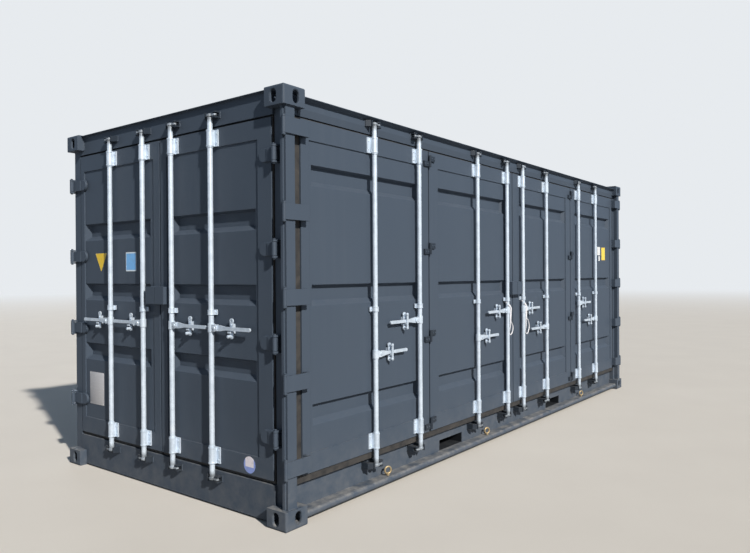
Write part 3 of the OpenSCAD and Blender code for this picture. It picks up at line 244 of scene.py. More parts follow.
frame_paint = painted_steel("frame_paint", ripple=0.10)
coat_nodes(frame_paint, ["door_post_wall", "door_post_side", "rear_post_wall", "rear_post_side",
                         "door_header", "door_sill", "side_top_rail", "side_bottom_rail",
                         "wall_top_rail", "wall_bottom_rail", "rear_header", "rear_sill",
                         "end_hinge_lugs", "side_hinge_lugs", "side_hinge_blades",
                         "end_blades_wall", "end_blades_side"])
# Keepers and fold hinges sit in shade, so their coat is darkened to a painted shade.
shade_darkened_gear_paint = painted_steel("shade_darkened_gear_paint", ripple=0.0, dust=0.10, rough=0.30, shade=0.42)
coat_nodes(shade_darkened_gear_paint, ["end_keepers", "side_keepers", "fold_hinges"])
cast_paint = painted_steel("cast_paint", ripple=0.0, rough=0.52)
coat_nodes(cast_paint, ["bottom_castings", "top_castings"])
sheet_paint = painted_steel("sheet_paint", ripple=0.30)
coat_nodes(sheet_paint, ["roof_panel", "wall_panel", "rear_panel", "side_leaf_1", "side_leaf_2",
                         "side_leaf_3", "side_leaf_4", "end_leaf_wall", "end_leaf_side"])
box_paint = painted_steel("box_paint", ripple=0.05, rough=0.46)
coat_nodes(box_paint, ["side_lock_box", "end_lock_box_wall", "end_lock_box_side"])


# Weld seams: the frame is welded where posts, rails and sills meet the castings and each
# other, so a painted bead with the ripple of the torch runs along each joint.
low_corner, high_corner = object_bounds()
skin = 0.016
rail_face = 0.054
sill_face = 0.106
casting_long, casting_wide, casting_high = 0.178, 0.162, 0.118
post_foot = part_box("bottom_castings")[0].z + casting_high
post_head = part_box("top_castings")[1].z - casting_high
wall_post_front, wall_post_wide, wall_post_long = 0.058, 0.097, 0.150
side_leg_front, side_leg_wide, rear_post_wide = 0.022, 0.052, 0.147
hinge_step = 0.034
end_seam_low, end_seam_high = 0.014, 2.580
rail_seam_low, rail_seam_high = 0.072, 2.528
bead_r = 0.005
bead_ripple, bead_swell = 0.012, 0.22
sharp_from = math.radians(38)
seed = random.Random(7)


def drawn_bar(bm, points, radius, segments=6, swell=0.0):
    last = len(points) - 1
    way = [(points[min(i + 1, last)] - points[max(i - 1, 0)]).normalized() for i in range(last + 1)]
    at = Matrix.Translation(points[0]) @ way[0].to_track_quat("Z", "Y").to_matrix().to_4x4()
    ring = bmesh.ops.create_circle(bm, cap_ends=True, radius=radius, segments=segments, matrix=at)
    face = ring["verts"][0].link_faces[0]
    for i in range(1, last + 1):
        out = bmesh.ops.extrude_face_region(bm, geom=[face])["geom"]
        verts = [part for part in out if isinstance(part, bmesh.types.BMVert)]
        old, face = face, next(part for part in out if isinstance(part, bmesh.types.BMFace))
        if i > 1:
            bmesh.ops.delete(bm, geom=[old], context="FACES_ONLY")
        bmesh.ops.translate(bm, verts=verts, vec=points[i] - points[i - 1])
        bend = way[i - 1].rotation_difference(way[i]).to_matrix()
        bmesh.ops.rotate(bm, verts=verts, cent=points[i], matrix=bend)
        if swell:
            full = radius * (1 + swell * seed.uniform(-1, 1))
            for vert in verts:
                vert.co = points[i] + (vert.co - points[i]).normalized() * full


def weld_bead(bm, start, end, radius=bead_r, ripple=bead_ripple):
    steps = max(4, int((end - start).length / ripple))
    drawn_bar(bm, [start.lerp(end, i / steps) for i in range(steps + 1)], radius,
              swell=bead_swell)


def finish_piece(name, bm, material, body, smooth=True):
    bmesh.ops.recalc_face_normals(bm, faces=bm.faces)
    mesh = bpy.data.meshes.new(name)
    bm.to_mesh(mesh)
    bm.free()
    mesh.materials.append(material)
    if smooth:
        mesh.shade_smooth()
        mesh.set_sharp_from_angle(angle=sharp_from)
    piece = bpy.data.objects.new(name, mesh)
    scene.collection.objects.link(piece)
    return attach(piece, body)


seams = bmesh.new()
for ex in (-1, 1):
    for z in (post_foot, post_head):
        wall_y, wall_in = high_corner.y - skin, high_corner.y - wall_post_wide
        end_x = ex * (high_corner.x - (wall_post_front if ex < 0 else skin))
        weld_bead(seams, Vector((end_x, wall_y, z)), Vector((end_x, wall_in, z)))
        weld_bead(seams, Vector((end_x, wall_y, z)),
                  Vector((ex * (high_corner.x - wall_post_long), wall_y, z)))
        side_y = low_corner.y + skin
        weld_bead(seams, Vector((ex * (high_corner.x - hinge_step), side_y, z)),
                  Vector((ex * (high_corner.x - sill_face), side_y, z)))
        leg_x, leg_wide = ((low_corner.x + side_leg_front, side_leg_wide) if ex < 0 else
                           (high_corner.x - skin, rear_post_wide))
        weld_bead(seams, Vector((leg_x, low_corner.y + hinge_step, z)),
                  Vector((leg_x, low_corner.y + leg_wide, z)))
    for low, high in ((end_seam_low, post_foot), (post_head, end_seam_high)):
        along = ex * (high_corner.y - casting_wide)
        weld_bead(seams, Vector((low_corner.x + rail_face, along, low)),
                  Vector((low_corner.x + rail_face, along, high)))
    along = ex * (high_corner.x - casting_long)
    for depth, low, high in ((sill_face, rail_seam_low, post_foot),
                             (rail_face, post_head, rail_seam_high)):
        weld_bead(seams, Vector((along, low_corner.y + depth, low)),
                  Vector((along, low_corner.y + depth, high)))
finish_piece("frame_welds", seams, frame_paint, "container")


# Underframe: cross members of folded channel and two fork tunnels of plate, painted in the
# same coat and darkened to a painted shade for the shade under the floor and inside the tunnels.
shade_darkened_underframe_paint = painted_steel("shade_darkened_underframe_paint", ripple=0.10, dust=0.0, rough=0.75, shade=0.12)
coat_nodes(shade_darkened_underframe_paint, ["cross_members", "fork_pockets"])


# Roof and wall sheets: lengths of pressed steel butted and welded together, with a low bead
# across each joint.
roof_sheet_z, roof_half = 2.553, 1.19
roof_middle, roof_rib = 0.029, 0.209
wall_pressing, wall_first, wall_flat = 0.278, -2.78, 0.13
wall_sheet_y, wall_sheet_foot = high_corner.y - 0.0205, 0.19
sheet_bead_r, sheet_ripple = 0.004, 0.02
seams = bmesh.new()
for rib in (-10, -5, 0, 5, 10):
    x = roof_middle + rib * roof_rib
    weld_bead(seams, Vector((x, -roof_half, roof_sheet_z)), Vector((x, roof_half, roof_sheet_z)),
              sheet_bead_r, sheet_ripple)
for wave in (4, 8, 12, 16):
    x = wall_first + (wave + wall_flat) * wall_pressing
    weld_bead(seams, Vector((x, wall_sheet_y, wall_sheet_foot)),
              Vector((x, wall_sheet_y, post_head)), sheet_bead_r, sheet_ripple)
finish_piece("sheet_welds", seams, sheet_paint, "container")


# Floor: thick plywood sheets, oiled and scuffed grey in patches, screwed down on the cross
# members with two screws across each board over each member.
ply_dark = (0.105, 0.055, 0.028, 1)
ply_light = (0.30, 0.185, 0.10, 1)
ply_scuffed = (0.27, 0.235, 0.19, 1)


def worn_plywood(name):
    material, tree, shader = new_material(name)
    place = node(tree, "TexCoord").outputs["Object"]
    board = node(tree, "Mapping", {"Vector": place, "Scale": (1.2, 26.0, 26.0)}).outputs["Vector"]
    grain = noise(tree, board, 1.6, 7.0, Distortion=0.8)
    veins = node(tree, "ValToRGB", {"Fac": grain})
    ramp = veins.color_ramp
    ramp.elements[0].position, ramp.elements[0].color = 0.30, ply_dark
    ramp.elements[1].position, ramp.elements[1].color = 0.72, ply_light
    scuff = spread(tree, noise(tree, place, 3.0, 8.0), 0.45, 0.8, most=0.6)
    dress(tree, shader, mixed(tree, scuff, veins.outputs["Color"], ply_scuffed),
          spread(tree, scuff, 0.0, 1.0, 0.45, 0.85), relief(tree, grain, 0.25, 0.002))
    return material


plywood = worn_plywood("floor_plywood")
coat_nodes(plywood, ["floor_boards"])
board_low, board_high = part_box("floor_boards")
board_count, member_count = 8, 16
board_wide = (board_high.y - board_low.y) / board_count
member_first, member_step = -2.8275, 0.377
screw_margin, screw_rise = 0.03, 0.0002
screw_r, screw_top_r, screw_high = 0.0065, 0.0052, 0.0012
screws = bmesh.new()
for member in range(member_count):
    for board in range(board_count):
        for side in (screw_margin, board_wide - screw_margin):
            place = Vector((member_first + member * member_step,
                            board_low.y + board * board_wide + side, board_high.z + screw_rise))
            if board_low.x < place.x < board_high.x:
                bmesh.ops.create_cone(screws, cap_ends=True, segments=8, radius1=screw_r,
                                      radius2=screw_top_r, depth=screw_high,
                                      matrix=Matrix.Translation(place))


# Galvanised gear: rods, handles, guides and catches are hot dip galvanised, so they are pale,
# dull and blotched with spangle and white rust. The rods are darker towards their top and foot
# ends, and the floor's screws are plated like the gear.
zinc_light = (0.76, 0.85, 0.95, 1)
zinc_dark = (0.57, 0.65, 0.74, 1)
zinc_white_rust = (0.80, 0.84, 0.87, 1)
rod_end_dark = (0.10, 0.105, 0.11, 1)
rod_middle_z, rod_plain_reach, rod_dark_edge = 1.348, 1.105, 0.03
zinc_edge_radius = 0.0018


def galvanised(name, metal, rough, end_darkening=0.0):
    material, tree, shader = new_material(name)
    shader.inputs["Metallic"].default_value = metal
    place = node(tree, "TexCoord").outputs["Object"]
    crystals = node(tree, "TexVoronoi", {"Vector": place, "Scale": 95.0}).outputs["Color"]
    spangle = node(tree, "SeparateXYZ", {"Vector": crystals}).outputs["X"]
    cloud = spread(tree, noise(tree, place, 16.0, 6.0), 0.35, 0.7)
    tone = reckoned(tree, "MULTIPLY_ADD", spangle, 0.30, cloud, use_clamp=True)
    coat = mixed(tree, tone, zinc_light, zinc_dark)
    bloom = spread(tree, noise(tree, place, 5.0, 9.0, Roughness=0.75), 0.56, 0.74, most=0.7)
    rusted = mixed(tree, bloom, coat, zinc_white_rust)
    height = node(tree, "SeparateXYZ", {"Vector": place}).outputs["Z"]
    # The rods' zinc turns darker towards both ends, past a set reach from the middle.
    reach = reckoned(tree, "ABSOLUTE", reckoned(tree, "SUBTRACT", height, rod_middle_z))
    ends = spread(tree, reach, rod_plain_reach, rod_plain_reach + rod_dark_edge, most=end_darkening)
    film = reckoned(tree, "MULTIPLY", reckoned(tree, "MULTIPLY_ADD", cloud, 0.4, 0.6), ends)
    gloss = spread(tree, cloud, 0.0, 1.0, rough, rough + 0.16)
    edge = node(tree, "Bevel", {"Radius": zinc_edge_radius}, samples=4).outputs["Normal"]
    dress(tree, shader, mixed(tree, film, rusted, rod_end_dark),
          reckoned(tree, "MULTIPLY_ADD", bloom, 0.25, gloss),
          relief(tree, noise(tree, place, 60.0, 3.0), 0.25, 0.0012, edge))
    return material


rod_zinc = galvanised("rod_zinc", metal=0.25, rough=0.36, end_darkening=0.85)
coat_nodes(rod_zinc, ["side_rods", "end_rod_1", "end_rod_2", "end_rod_3", "end_rod_4"])
gear_zinc = galvanised("gear_zinc", metal=0.35, rough=0.40)
coat_nodes(gear_zinc, ["side_handles", "end_handle_1", "end_handle_2", "end_handle_3",
                       "end_handle_4", "side_guides", "end_guides_wall", "end_guides_side",
                       "side_catches", "end_catches_wall", "end_catches_side"])
finish_piece("floor_screws", screws, gear_zinc, "container")


# Lock gear: steel rods down the leaves, each turned by a handle and held in three guides that
# are bolted to the frames. A place on it is told by its y on the end or its x on the side, its
# depth from the casting faces and its height.
rod_depth = 0.025
leaf_depth = 0.054
plate_front = 0.0454
end_rod_ys = (0.643, 0.225, -0.111, -0.529)
end_hands = (1, 1, -1, -1)
side_rod_xs = (-2.147, -1.606, -0.717, -0.166, 0.166, 0.717, 1.606, 2.147)
side_hands = (1, -1, 1, -1, 1, -1, 1, -1)
handle_high, handle_low = 1.147, 0.942
side_handle_zs = (handle_low, handle_high, handle_low, handle_high,
                  handle_high, handle_low, handle_high, handle_low)
end_handle_z = 1.152
end_bodies = ("wall_leaf", "wall_leaf", "side_leaf", "side_leaf")


def on_end(along, depth, height):
    return Vector((low_corner.x + depth, along, height))


def on_side(along, depth, height):
    return Vector((along, low_corner.y + depth, height))


out_of_end = Vector((-1, 0, 0))
out_of_side = Vector((0, -1, 0))


def facing(point, outward):
    return Matrix.Translation(point) @ outward.to_track_quat("Z", "Y").to_matrix().to_4x4()


# Rivets and bolts: a rod's lower and upper guide have four domed bolts each and its middle
# guide two; a catch has two, and a knob at each end where a strap closes it, or else one below.
# Each handle turns on a pin with a peened head. A head's size is its radius and height.
guide_bolt, guide_bolt_out, guide_bolt_in = (0.0075, 0.004), 0.038, 0.024
mid_bolt, mid_bolt_out = (0.0055, 0.003), 0.026
catch_bolt, catch_bolt_out = (0.0065, 0.003), 0.024
catch_knob, catch_knob_out = (0.0085, 0.004), 0.048
handle_pin = (0.011, 0.006)
dome_share = 0.75
guide_tall = 0.105
end_guide_low, end_guide_high = 0.284, 0.389
side_guide_low, side_guide_high = 0.302, 0.407
top_guide_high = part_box("end_guides_wall")[1].z
top_guide_low = top_guide_high - guide_tall
mid_guide_z = 1.250
catch_out, catch_front, strap_front = 0.178, 0.038, 0.010
pivot_out = 0.046
ear_reach = 0.015
ear_front = rod_depth - ear_reach


def domed_head(bm, point, outward, radius, height, segments=12):
    at = facing(point, outward)
    made = bmesh.ops.create_cone(bm, cap_ends=True, segments=segments, radius1=radius,
                                 radius2=radius, depth=height,
                                 matrix=at @ Matrix.Translation((0, 0, height / 2)))
    top = max((f for v in made["verts"] for f in v.link_faces if len(f.verts) == segments),
              key=lambda f: (at.inverted() @ f.calc_center_median()).z)
    bmesh.ops.bevel(bm, geom=list(top.edges), offset=height * dome_share, affect="EDGES",
                    segments=2, profile=0.5, material=-1, offset_type="OFFSET")


def gear_bolts(bm, place_on, along, hand, outward, low, high, handle_z, strap):
    for foot, head in ((low, high), (top_guide_low, top_guide_high)):
        for z in (foot + guide_bolt_in, head - guide_bolt_in):
            for out in (-guide_bolt_out, guide_bolt_out):
                domed_head(bm, place_on(along + out, plate_front, z), outward, *guide_bolt)
    for out in (-mid_bolt_out, mid_bolt_out):
        domed_head(bm, place_on(along + out, plate_front, mid_guide_z), outward, *mid_bolt)
    catch = along + hand * catch_out
    for out in (-catch_bolt_out, catch_bolt_out):
        domed_head(bm, place_on(catch, catch_front, handle_z + out), outward, *catch_bolt)
    for out in (-catch_knob_out, catch_knob_out) if strap else (-catch_knob_out,):
        domed_head(bm, place_on(catch, strap_front, handle_z + out), outward, *catch_knob)


for body in ("wall_leaf", "side_leaf"):
    bolts = bmesh.new()
    for y, hand, owner in zip(end_rod_ys, end_hands, end_bodies):
        if owner == body:
            gear_bolts(bolts, on_end, y, hand, out_of_end, end_guide_low, end_guide_high,
                       end_handle_z, False)
    finish_piece("gear_bolts_" + body, bolts, gear_zinc, body)
bolts = bmesh.new()
for x, hand, z in zip(side_rod_xs, side_hands, side_handle_zs):
    gear_bolts(bolts, on_side, x, hand, out_of_side, side_guide_low, side_guide_high, z, True)
finish_piece("gear_bolts_folding", bolts, gear_zinc, "container")

for i, (y, hand) in enumerate(zip(end_rod_ys, end_hands)):
    head = bmesh.new()
    domed_head(head, on_end(y + hand * pivot_out, ear_front, end_handle_z), out_of_end,
               *handle_pin)
    finish_piece("handle_pin_%d" % (i + 1), head, gear_zinc, "rod_%d" % (i + 1))
heads = bmesh.new()
for x, hand, z in zip(side_rod_xs, side_hands, side_handle_zs):
    domed_head(heads, on_side(x + hand * pivot_out, ear_front, z), out_of_side, *handle_pin)
finish_piece("side_handle_pins", heads, gear_zinc, "container")


# Door leaves: a frame of folded tube with a pressed sheet set into it, and a thin welded and
# sealed fillet all round the sheet's edge.
panel_depth = 0.062
leaf_bar = 0.120
fillet_r, fillet_ripple = 0.003, 0.03
folding_stiles = {"side_leaf_1": (0.072, 0.125), "side_leaf_2": (0.125, 0.138),
                  "side_leaf_3": (0.138, 0.125), "side_leaf_4": (0.125, 0.072)}
end_stiles = {"wall_leaf": (0.070, 0.048), "side_leaf": (0.120, 0.070)}
end_leaves = {"wall_leaf": "end_leaf_wall", "side_leaf": "end_leaf_side"}


def leaf_fillet(bm, place_on, near, far, low, high):
    corners = [place_on(near, panel_depth, low), place_on(far, panel_depth, low),
               place_on(far, panel_depth, high), place_on(near, panel_depth, high)]
    for i in range(4):
        weld_bead(bm, corners[i], corners[(i + 1) % 4], fillet_r, fillet_ripple)


fillets = bmesh.new()
for leaf, (left, right) in folding_stiles.items():
    low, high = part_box(leaf)
    leaf_fillet(fillets, on_side, low.x + left, high.x - right, low.z + leaf_bar,
                high.z - leaf_bar)
finish_piece("leaf_fillets_folding", fillets, sheet_paint, "container")
for body, (left, right) in end_stiles.items():
    low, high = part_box(end_leaves[body])
    fillets = bmesh.new()
    leaf_fillet(fillets, on_end, low.y + left, high.y - right, low.z + leaf_bar,
                high.z - leaf_bar)
    finish_piece("leaf_fillets_" + body, fillets, sheet_paint, body)


# Hinges: forged plates welded round their edge to the end leaves, pins with peened heads in
# lugs on the posts, and butt hinges bolted over the fold lines.
end_hinge_zs = (0.52, 1.08, 1.64, 2.20)
side_hinge_zs = (0.355, 0.855, 1.355, 1.855, 2.355)
hinge_bead_r, hinge_swell = 0.004, 0.12
plate_r, plate_over, plate_start, plate_arc_steps = 0.040, 0.092, 0.004, 14
end_pin, end_pin_depth, end_pin_reach = (0.0095, 0.004), 0.026, 0.058
end_pin_ys = (high_corner.y - 0.022, low_corner.y + 0.111)
side_pin, corner_pin, side_pin_reach = (0.0085, 0.003), 0.018, 0.0605
blade_long, blade_half = 0.220, 0.0475
fold_line, fold_front = 1.433, 0.040
fold_first, fold_step, fold_count = 0.342, 0.669, 4
fold_bolt, fold_bolt_outs, fold_bolt_up = (0.0065, 0.004), (0.030, 0.060), 0.022
for body, edge, way in (("wall_leaf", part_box("end_leaf_wall")[1].y, -1),
                        ("side_leaf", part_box("end_leaf_side")[0].y, 1)):
    beads = bmesh.new()
    for z in end_hinge_zs:
        middle = edge + way * (plate_over - plate_r)
        rim = [on_end(edge + way * plate_start, leaf_depth, z - plate_r)]
        for i in range(plate_arc_steps + 1):
            turn = math.pi * i / plate_arc_steps
            rim.append(on_end(middle + way * plate_r * math.sin(turn), leaf_depth,
                              z - plate_r * math.cos(turn)))
        rim.append(on_end(edge + way * plate_start, leaf_depth, z + plate_r))
        drawn_bar(beads, rim, hinge_bead_r, swell=hinge_swell)
    finish_piece("hinge_beads_" + body, beads, frame_paint, body)
pins = bmesh.new()
for y in end_pin_ys:
    for z in end_hinge_zs:
        for way in (-1, 1):
            domed_head(pins, Vector((low_corner.x + end_pin_depth, y, z + way * end_pin_reach)),
                       Vector((0, 0, way)), *end_pin)
for ex in (-1, 1):
    for z in side_hinge_zs:
        at = Vector((ex * (high_corner.x - corner_pin), low_corner.y + corner_pin, z))
        for way in (-1, 1):
            domed_head(pins, at + Vector((0, 0, way * side_pin_reach)), Vector((0, 0, way)),
                       *side_pin)
        blade_end = ex * (high_corner.x - blade_long)
        weld_bead(pins, on_side(blade_end, leaf_depth, z - blade_half),
                  on_side(blade_end, leaf_depth, z + blade_half), hinge_bead_r)
for x in (-fold_line, fold_line):
    for i in range(fold_count):
        z = fold_first + i * fold_step
        for out in fold_bolt_outs:
            for way in (1, -1):
                domed_head(pins, on_side(x + way * out, fold_front, z + way * fold_bolt_up),
                           out_of_side, *fold_bolt)
finish_piece("hinge_pins", pins, frame_paint, "container")


# Keepers: flame cut jaws and lugs welded to the header, the sill and the side rails, with a
# bead down both flanks of each foot.
keeper_in, keeper_out = 0.030, 0.068
keeper_bead_r = 0.0035
foot_keeper, head_keeper = (0.169, 0.211), (2.485, 2.527)
beads = bmesh.new()
for (low, high), side_face in ((foot_keeper, sill_face), (head_keeper, rail_face)):
    for place_on, depth, alongs, hands in ((on_end, rail_face, end_rod_ys, end_hands),
                                           (on_side, side_face, side_rod_xs, side_hands)):
        for along, hand in zip(alongs, hands):
            for out in (keeper_in, keeper_out, -keeper_in, -keeper_out):
                weld_bead(beads, place_on(along + hand * out, depth, low),
                          place_on(along + hand * out, depth, high), keeper_bead_r)
finish_piece("keeper_beads", beads, frame_paint, "container")


# Padlock housings: boxes of bent plate welded over the meeting lines, open below, with a
# bead along the edges that touch the leaf.
box_half, box_low, box_high = 0.105, 1.290, 1.410
box_bead_r = 0.004
end_split, split_half = 0.057, 0.012
beads = bmesh.new()
for x in (-box_half, box_half):
    weld_bead(beads, on_side(x, leaf_depth, box_low), on_side(x, leaf_depth, box_high), box_bead_r)
weld_bead(beads, on_side(-box_half, leaf_depth, box_high),
          on_side(box_half, leaf_depth, box_high), box_bead_r)
finish_piece("side_box_beads", beads, box_paint, "container")
for body, way in (("wall_leaf", 1), ("side_leaf", -1)):
    beads = bmesh.new()
    inner, outer = end_split + way * split_half, end_split + way * box_half
    for along, z in ((outer, box_low), (inner, box_high)):
        weld_bead(beads, on_end(along, leaf_depth, z), on_end(outer, leaf_depth, box_high),
                  box_bead_r)
    finish_piece("end_box_beads_" + body, beads, box_paint, body)


# Door seals: black rubber that has gone brown and dusty, clamped to the leaves' backs by
# galvanised strips with a rivet about every 150 mm.
rubber_black = (0.024, 0.023, 0.023, 1)
rubber_dusty = (0.066, 0.060, 0.054, 1)


def weathered_rubber(name):
    material, tree, shader = new_material(name)
    place = node(tree, "TexCoord").outputs["Object"]
    dirt = spread(tree, noise(tree, place, 14.0, 8.0, Roughness=0.7), 0.35, 0.7)
    dress(tree, shader, mixed(tree, dirt, rubber_black, rubber_dusty),
          spread(tree, dirt, 0.0, 1.0, 0.55, 0.9),
          relief(tree, noise(tree, place, 180.0, 3.0), 0.2, 0.001))
    return material


rubber = weathered_rubber("seal_rubber")
coat_nodes(rubber, ["side_seals", "end_seal_wall", "end_seal_side"])
strip_in, strip_wide = 0.005, 0.018
strip_depth, strip_thick, strip_edge, strip_gap = 0.112, 0.0015, 0.0004, 0.001
strip_rivet, rivet_sides = (0.0035, 0.0015), 8
rivet_pitch, flat_margin, upright_margin, upright_less = 0.15, 0.02, 0.06, 0.1


def flat_bar(bm, first, second, edge):
    low = Vector(min(a, b) for a, b in zip(first, second))
    size = Vector(max(a, b) for a, b in zip(first, second)) - low
    at = Matrix.Translation(low + size / 2) @ Matrix.Diagonal((*size, 1))
    made = bmesh.ops.create_cube(bm, size=1, matrix=at)["verts"]
    bmesh.ops.bevel(bm, geom=list({e for v in made for e in v.link_edges}), offset=edge,
                    affect="EDGES", segments=2, profile=0.5, material=-1, offset_type="OFFSET")


def seal_strips(bm, place_on, inward, near, far, low, high):
    back = strip_depth + strip_thick
    first, last = near + strip_in, far - strip_in
    foot, head = low + strip_in, high - strip_in
    for z in (foot, head - strip_wide):
        flat_bar(bm, place_on(first, strip_depth, z), place_on(last, back, z + strip_wide),
                 strip_edge)
        count = int((last - first) / rivet_pitch)
        for i in range(count + 1):
            along = first + flat_margin + (last - first - 2 * flat_margin) * i / count
            domed_head(bm, place_on(along, back, z + strip_wide / 2), inward, *strip_rivet,
                       rivet_sides)
    for along in (first, last - strip_wide):
        flat_bar(bm, place_on(along, strip_depth, foot + strip_wide + strip_gap),
                 place_on(along + strip_wide, back, head - strip_wide - strip_gap), strip_edge)
        count = int((head - foot - upright_less) / rivet_pitch)
        for i in range(count + 1):
            z = foot + upright_margin + (head - foot - 2 * upright_margin) * i / count
            domed_head(bm, place_on(along + strip_wide / 2, back, z), inward, *strip_rivet,
                       rivet_sides)


strips = bmesh.new()
for leaf in folding_stiles:
    low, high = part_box(leaf)
    seal_strips(strips, on_side, -out_of_side, low.x, high.x, low.z, high.z)
finish_piece("seal_strips_folding", strips, gear_zinc, "container")
for body, leaf in end_leaves.items():
    low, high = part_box(leaf)
    strips = bmesh.new()
    seal_strips(strips, on_end, -out_of_end, low.y, high.y, low.z, high.z)
    finish_piece("seal_strips_" + body, strips, gear_zinc, body)


# Lashing rings: round steel bent to a ring, each held up by a short stem that stands on the
# foot of the side rail, in yellow passivated zinc that has gone dull and dusty.
ring_yellow = (0.52, 0.36, 0.15, 1)
ring_dusty = (0.42, 0.36, 0.26, 1)


def yellow_zinc(name):
    material, tree, shader = new_material(name)
    shader.inputs["Metallic"].default_value = 0.6
    patch = noise(tree, node(tree, "TexCoord").outputs["Object"], 45.0, 6.0)
    dress(tree, shader, mixed(tree, patch, ring_yellow, ring_dusty),
          spread(tree, patch, 0.0, 1.0, 0.30, 0.65), relief(tree, patch, 0.3, 0.001))
    return material


coat_nodes(yellow_zinc("ring_zinc"), ["tie_rings"])


# Stickers: printed vinyl pressed on the panels, faintly wrinkled and dusty. They are plain
# fields with a border: a yellow triangle, a blue square, a round disc and three small slips.
# A sticker's place is told along the face and by its height, and so is its print's middle.
vinyl_thick, vinyl_gap, print_blur = 0.0008, 0.0002, 0.001
disc_sides = 40
on_panel, on_stile = panel_depth + vinyl_gap, leaf_depth + vinyl_gap


def vinyl(name, field, border, place_on, middle, half, rim):
    material, tree, shader = new_material(name)
    shader.inputs["Roughness"].default_value = 0.38
    place = node(tree, "TexCoord").outputs["Object"]
    grime = spread(tree, noise(tree, place, 38.0, 7.0), 0.5, 0.8, most=0.30)
    along, height = middle
    centre = tuple(-place_on(along, 0.0, height))
    spot = node(tree, "Mapping", {"Vector": place, "Location": centre}, vector_type="POINT")
    parts = node(tree, "SeparateXYZ", {"Vector": spot.outputs["Vector"]})
    across = reckoned(tree, "ABSOLUTE", parts.outputs["Y" if place_on is on_end else "X"])
    up = reckoned(tree, "ABSOLUTE", parts.outputs["Z"])
    far = reckoned(tree, "MAXIMUM", across, up)
    printed = mixed(tree, spread(tree, far, half - rim - print_blur, half - rim), field, border)
    tree.links.new(mixed(tree, grime, printed, road_dust_and_ledge_light), shader.inputs["Base Color"])
    tree.links.new(relief(tree, noise(tree, place, 30.0, 2.0), 0.15, 0.001),
                   shader.inputs["Normal"])
    return material


def sticker(name, shape, place_on, middle, depth, material, body, round_r=0.0):
    along, height = middle
    outward = out_of_end if place_on is on_end else out_of_side
    bm = bmesh.new()
    if isinstance(shape, float):
        bmesh.ops.create_circle(bm, cap_ends=True, radius=shape, segments=disc_sides,
                                matrix=facing(place_on(along, depth, height), outward))
    else:
        bm.faces.new([bm.verts.new(place_on(along + a, depth, height + b)) for a, b in shape])
    if round_r:
        bmesh.ops.bevel(bm, geom=list(bm.verts), offset=round_r, affect="VERTICES", segments=4,
                        profile=0.5, material=-1, offset_type="OFFSET")
    out = bmesh.ops.extrude_face_region(bm, geom=list(bm.faces))["geom"]
    bmesh.ops.translate(bm, verts=[v for v in out if isinstance(v, bmesh.types.BMVert)],
                        vec=outward * vinyl_thick)
    finish_piece(name, bm, material, body, smooth=False)


def oblong(half_wide, half_tall):
    return [(-half_wide, -half_tall), (half_wide, -half_tall), (half_wide, half_tall),
            (-half_wide, half_tall)]


warning_yellow, warning_edge = (1.0, 0.68, 0.04, 1), (0.86, 0.70, 0.36, 1)
triangle_at, triangle_half, triangle_rise, triangle_rim = (0.832, 1.590), 0.080, 0.070, 0.010
field_round = 0.006
warning = vinyl("yellow_vinyl", warning_yellow, warning_edge, on_end, triangle_at, triangle_half,
                triangle_rim)
triangle = [(-triangle_half, triangle_rise), (0.0, -triangle_rise), (triangle_half, triangle_rise)]
sticker("yellow_triangle", triangle, on_end, triangle_at, on_panel, warning, "wall_leaf",
        field_round)

sky_blue, pale_edge = (0.22, 0.55, 1.0, 1), (0.82, 0.92, 1.0, 1)
square_at, square_half, square_rise, square_rim = (0.428, 1.590), 0.066, 0.070, 0.009
blue = vinyl("blue_vinyl", sky_blue, pale_edge, on_end, square_at, square_rise, square_rim)
sticker("blue_square", oblong(square_half, square_rise), on_end, square_at, on_panel, blue,
        "wall_leaf", field_round)

disc_white, disc_blue = (0.92, 0.86, 0.92, 1), (0.30, 0.40, 0.82, 1)
disc_at, disc_r = (-0.850, 0.322), 0.052
disc_print_at, disc_print_half, disc_print_rim = (-0.850, 0.346), 0.060, 0.022
disc = vinyl("white_vinyl", disc_white, disc_blue, on_end, disc_print_at, disc_print_half,
             disc_print_rim)
sticker("round_disc", disc_r, on_end, disc_at, on_stile, disc, "side_leaf")

slip_white = (0.80, 0.81, 0.80, 1)
slip_at, slip_half, slip_round = (2.370, 1.750), 0.050, 0.004
small_slip_at, small_slip_half, small_slip_rise = (2.385, 1.660), 0.022, 0.028
slip_print_at, slip_print_half, slip_print_rim = (2.375, 1.760), 0.070, 0.010
slip = vinyl("slip_vinyl", slip_white, slip_white, on_side, slip_print_at, slip_print_half,
             slip_print_rim)
sticker("white_slip", oblong(slip_half, slip_half), on_side, slip_at, on_panel, slip,
        "container", slip_round)
sticker("small_slip", oblong(small_slip_half, small_slip_rise), on_side, small_slip_at, on_panel,
        slip, "container", slip_round)

slip_yellow, slip_orange = (0.95, 0.70, 0.08, 1), (0.88, 0.60, 0.06, 1)
yellow_at, yellow_half, yellow_rise, yellow_rim = (2.530, 1.720), 0.062, 0.078, 0.008
yellow_round = 0.005
yellow = vinyl("yellow_slip_vinyl", slip_yellow, slip_orange, on_side, yellow_at, yellow_rise,
               yellow_rim)
sticker("yellow_slip", oblong(yellow_half, yellow_rise), on_side, yellow_at, on_panel, yellow,
        "container", yellow_round)


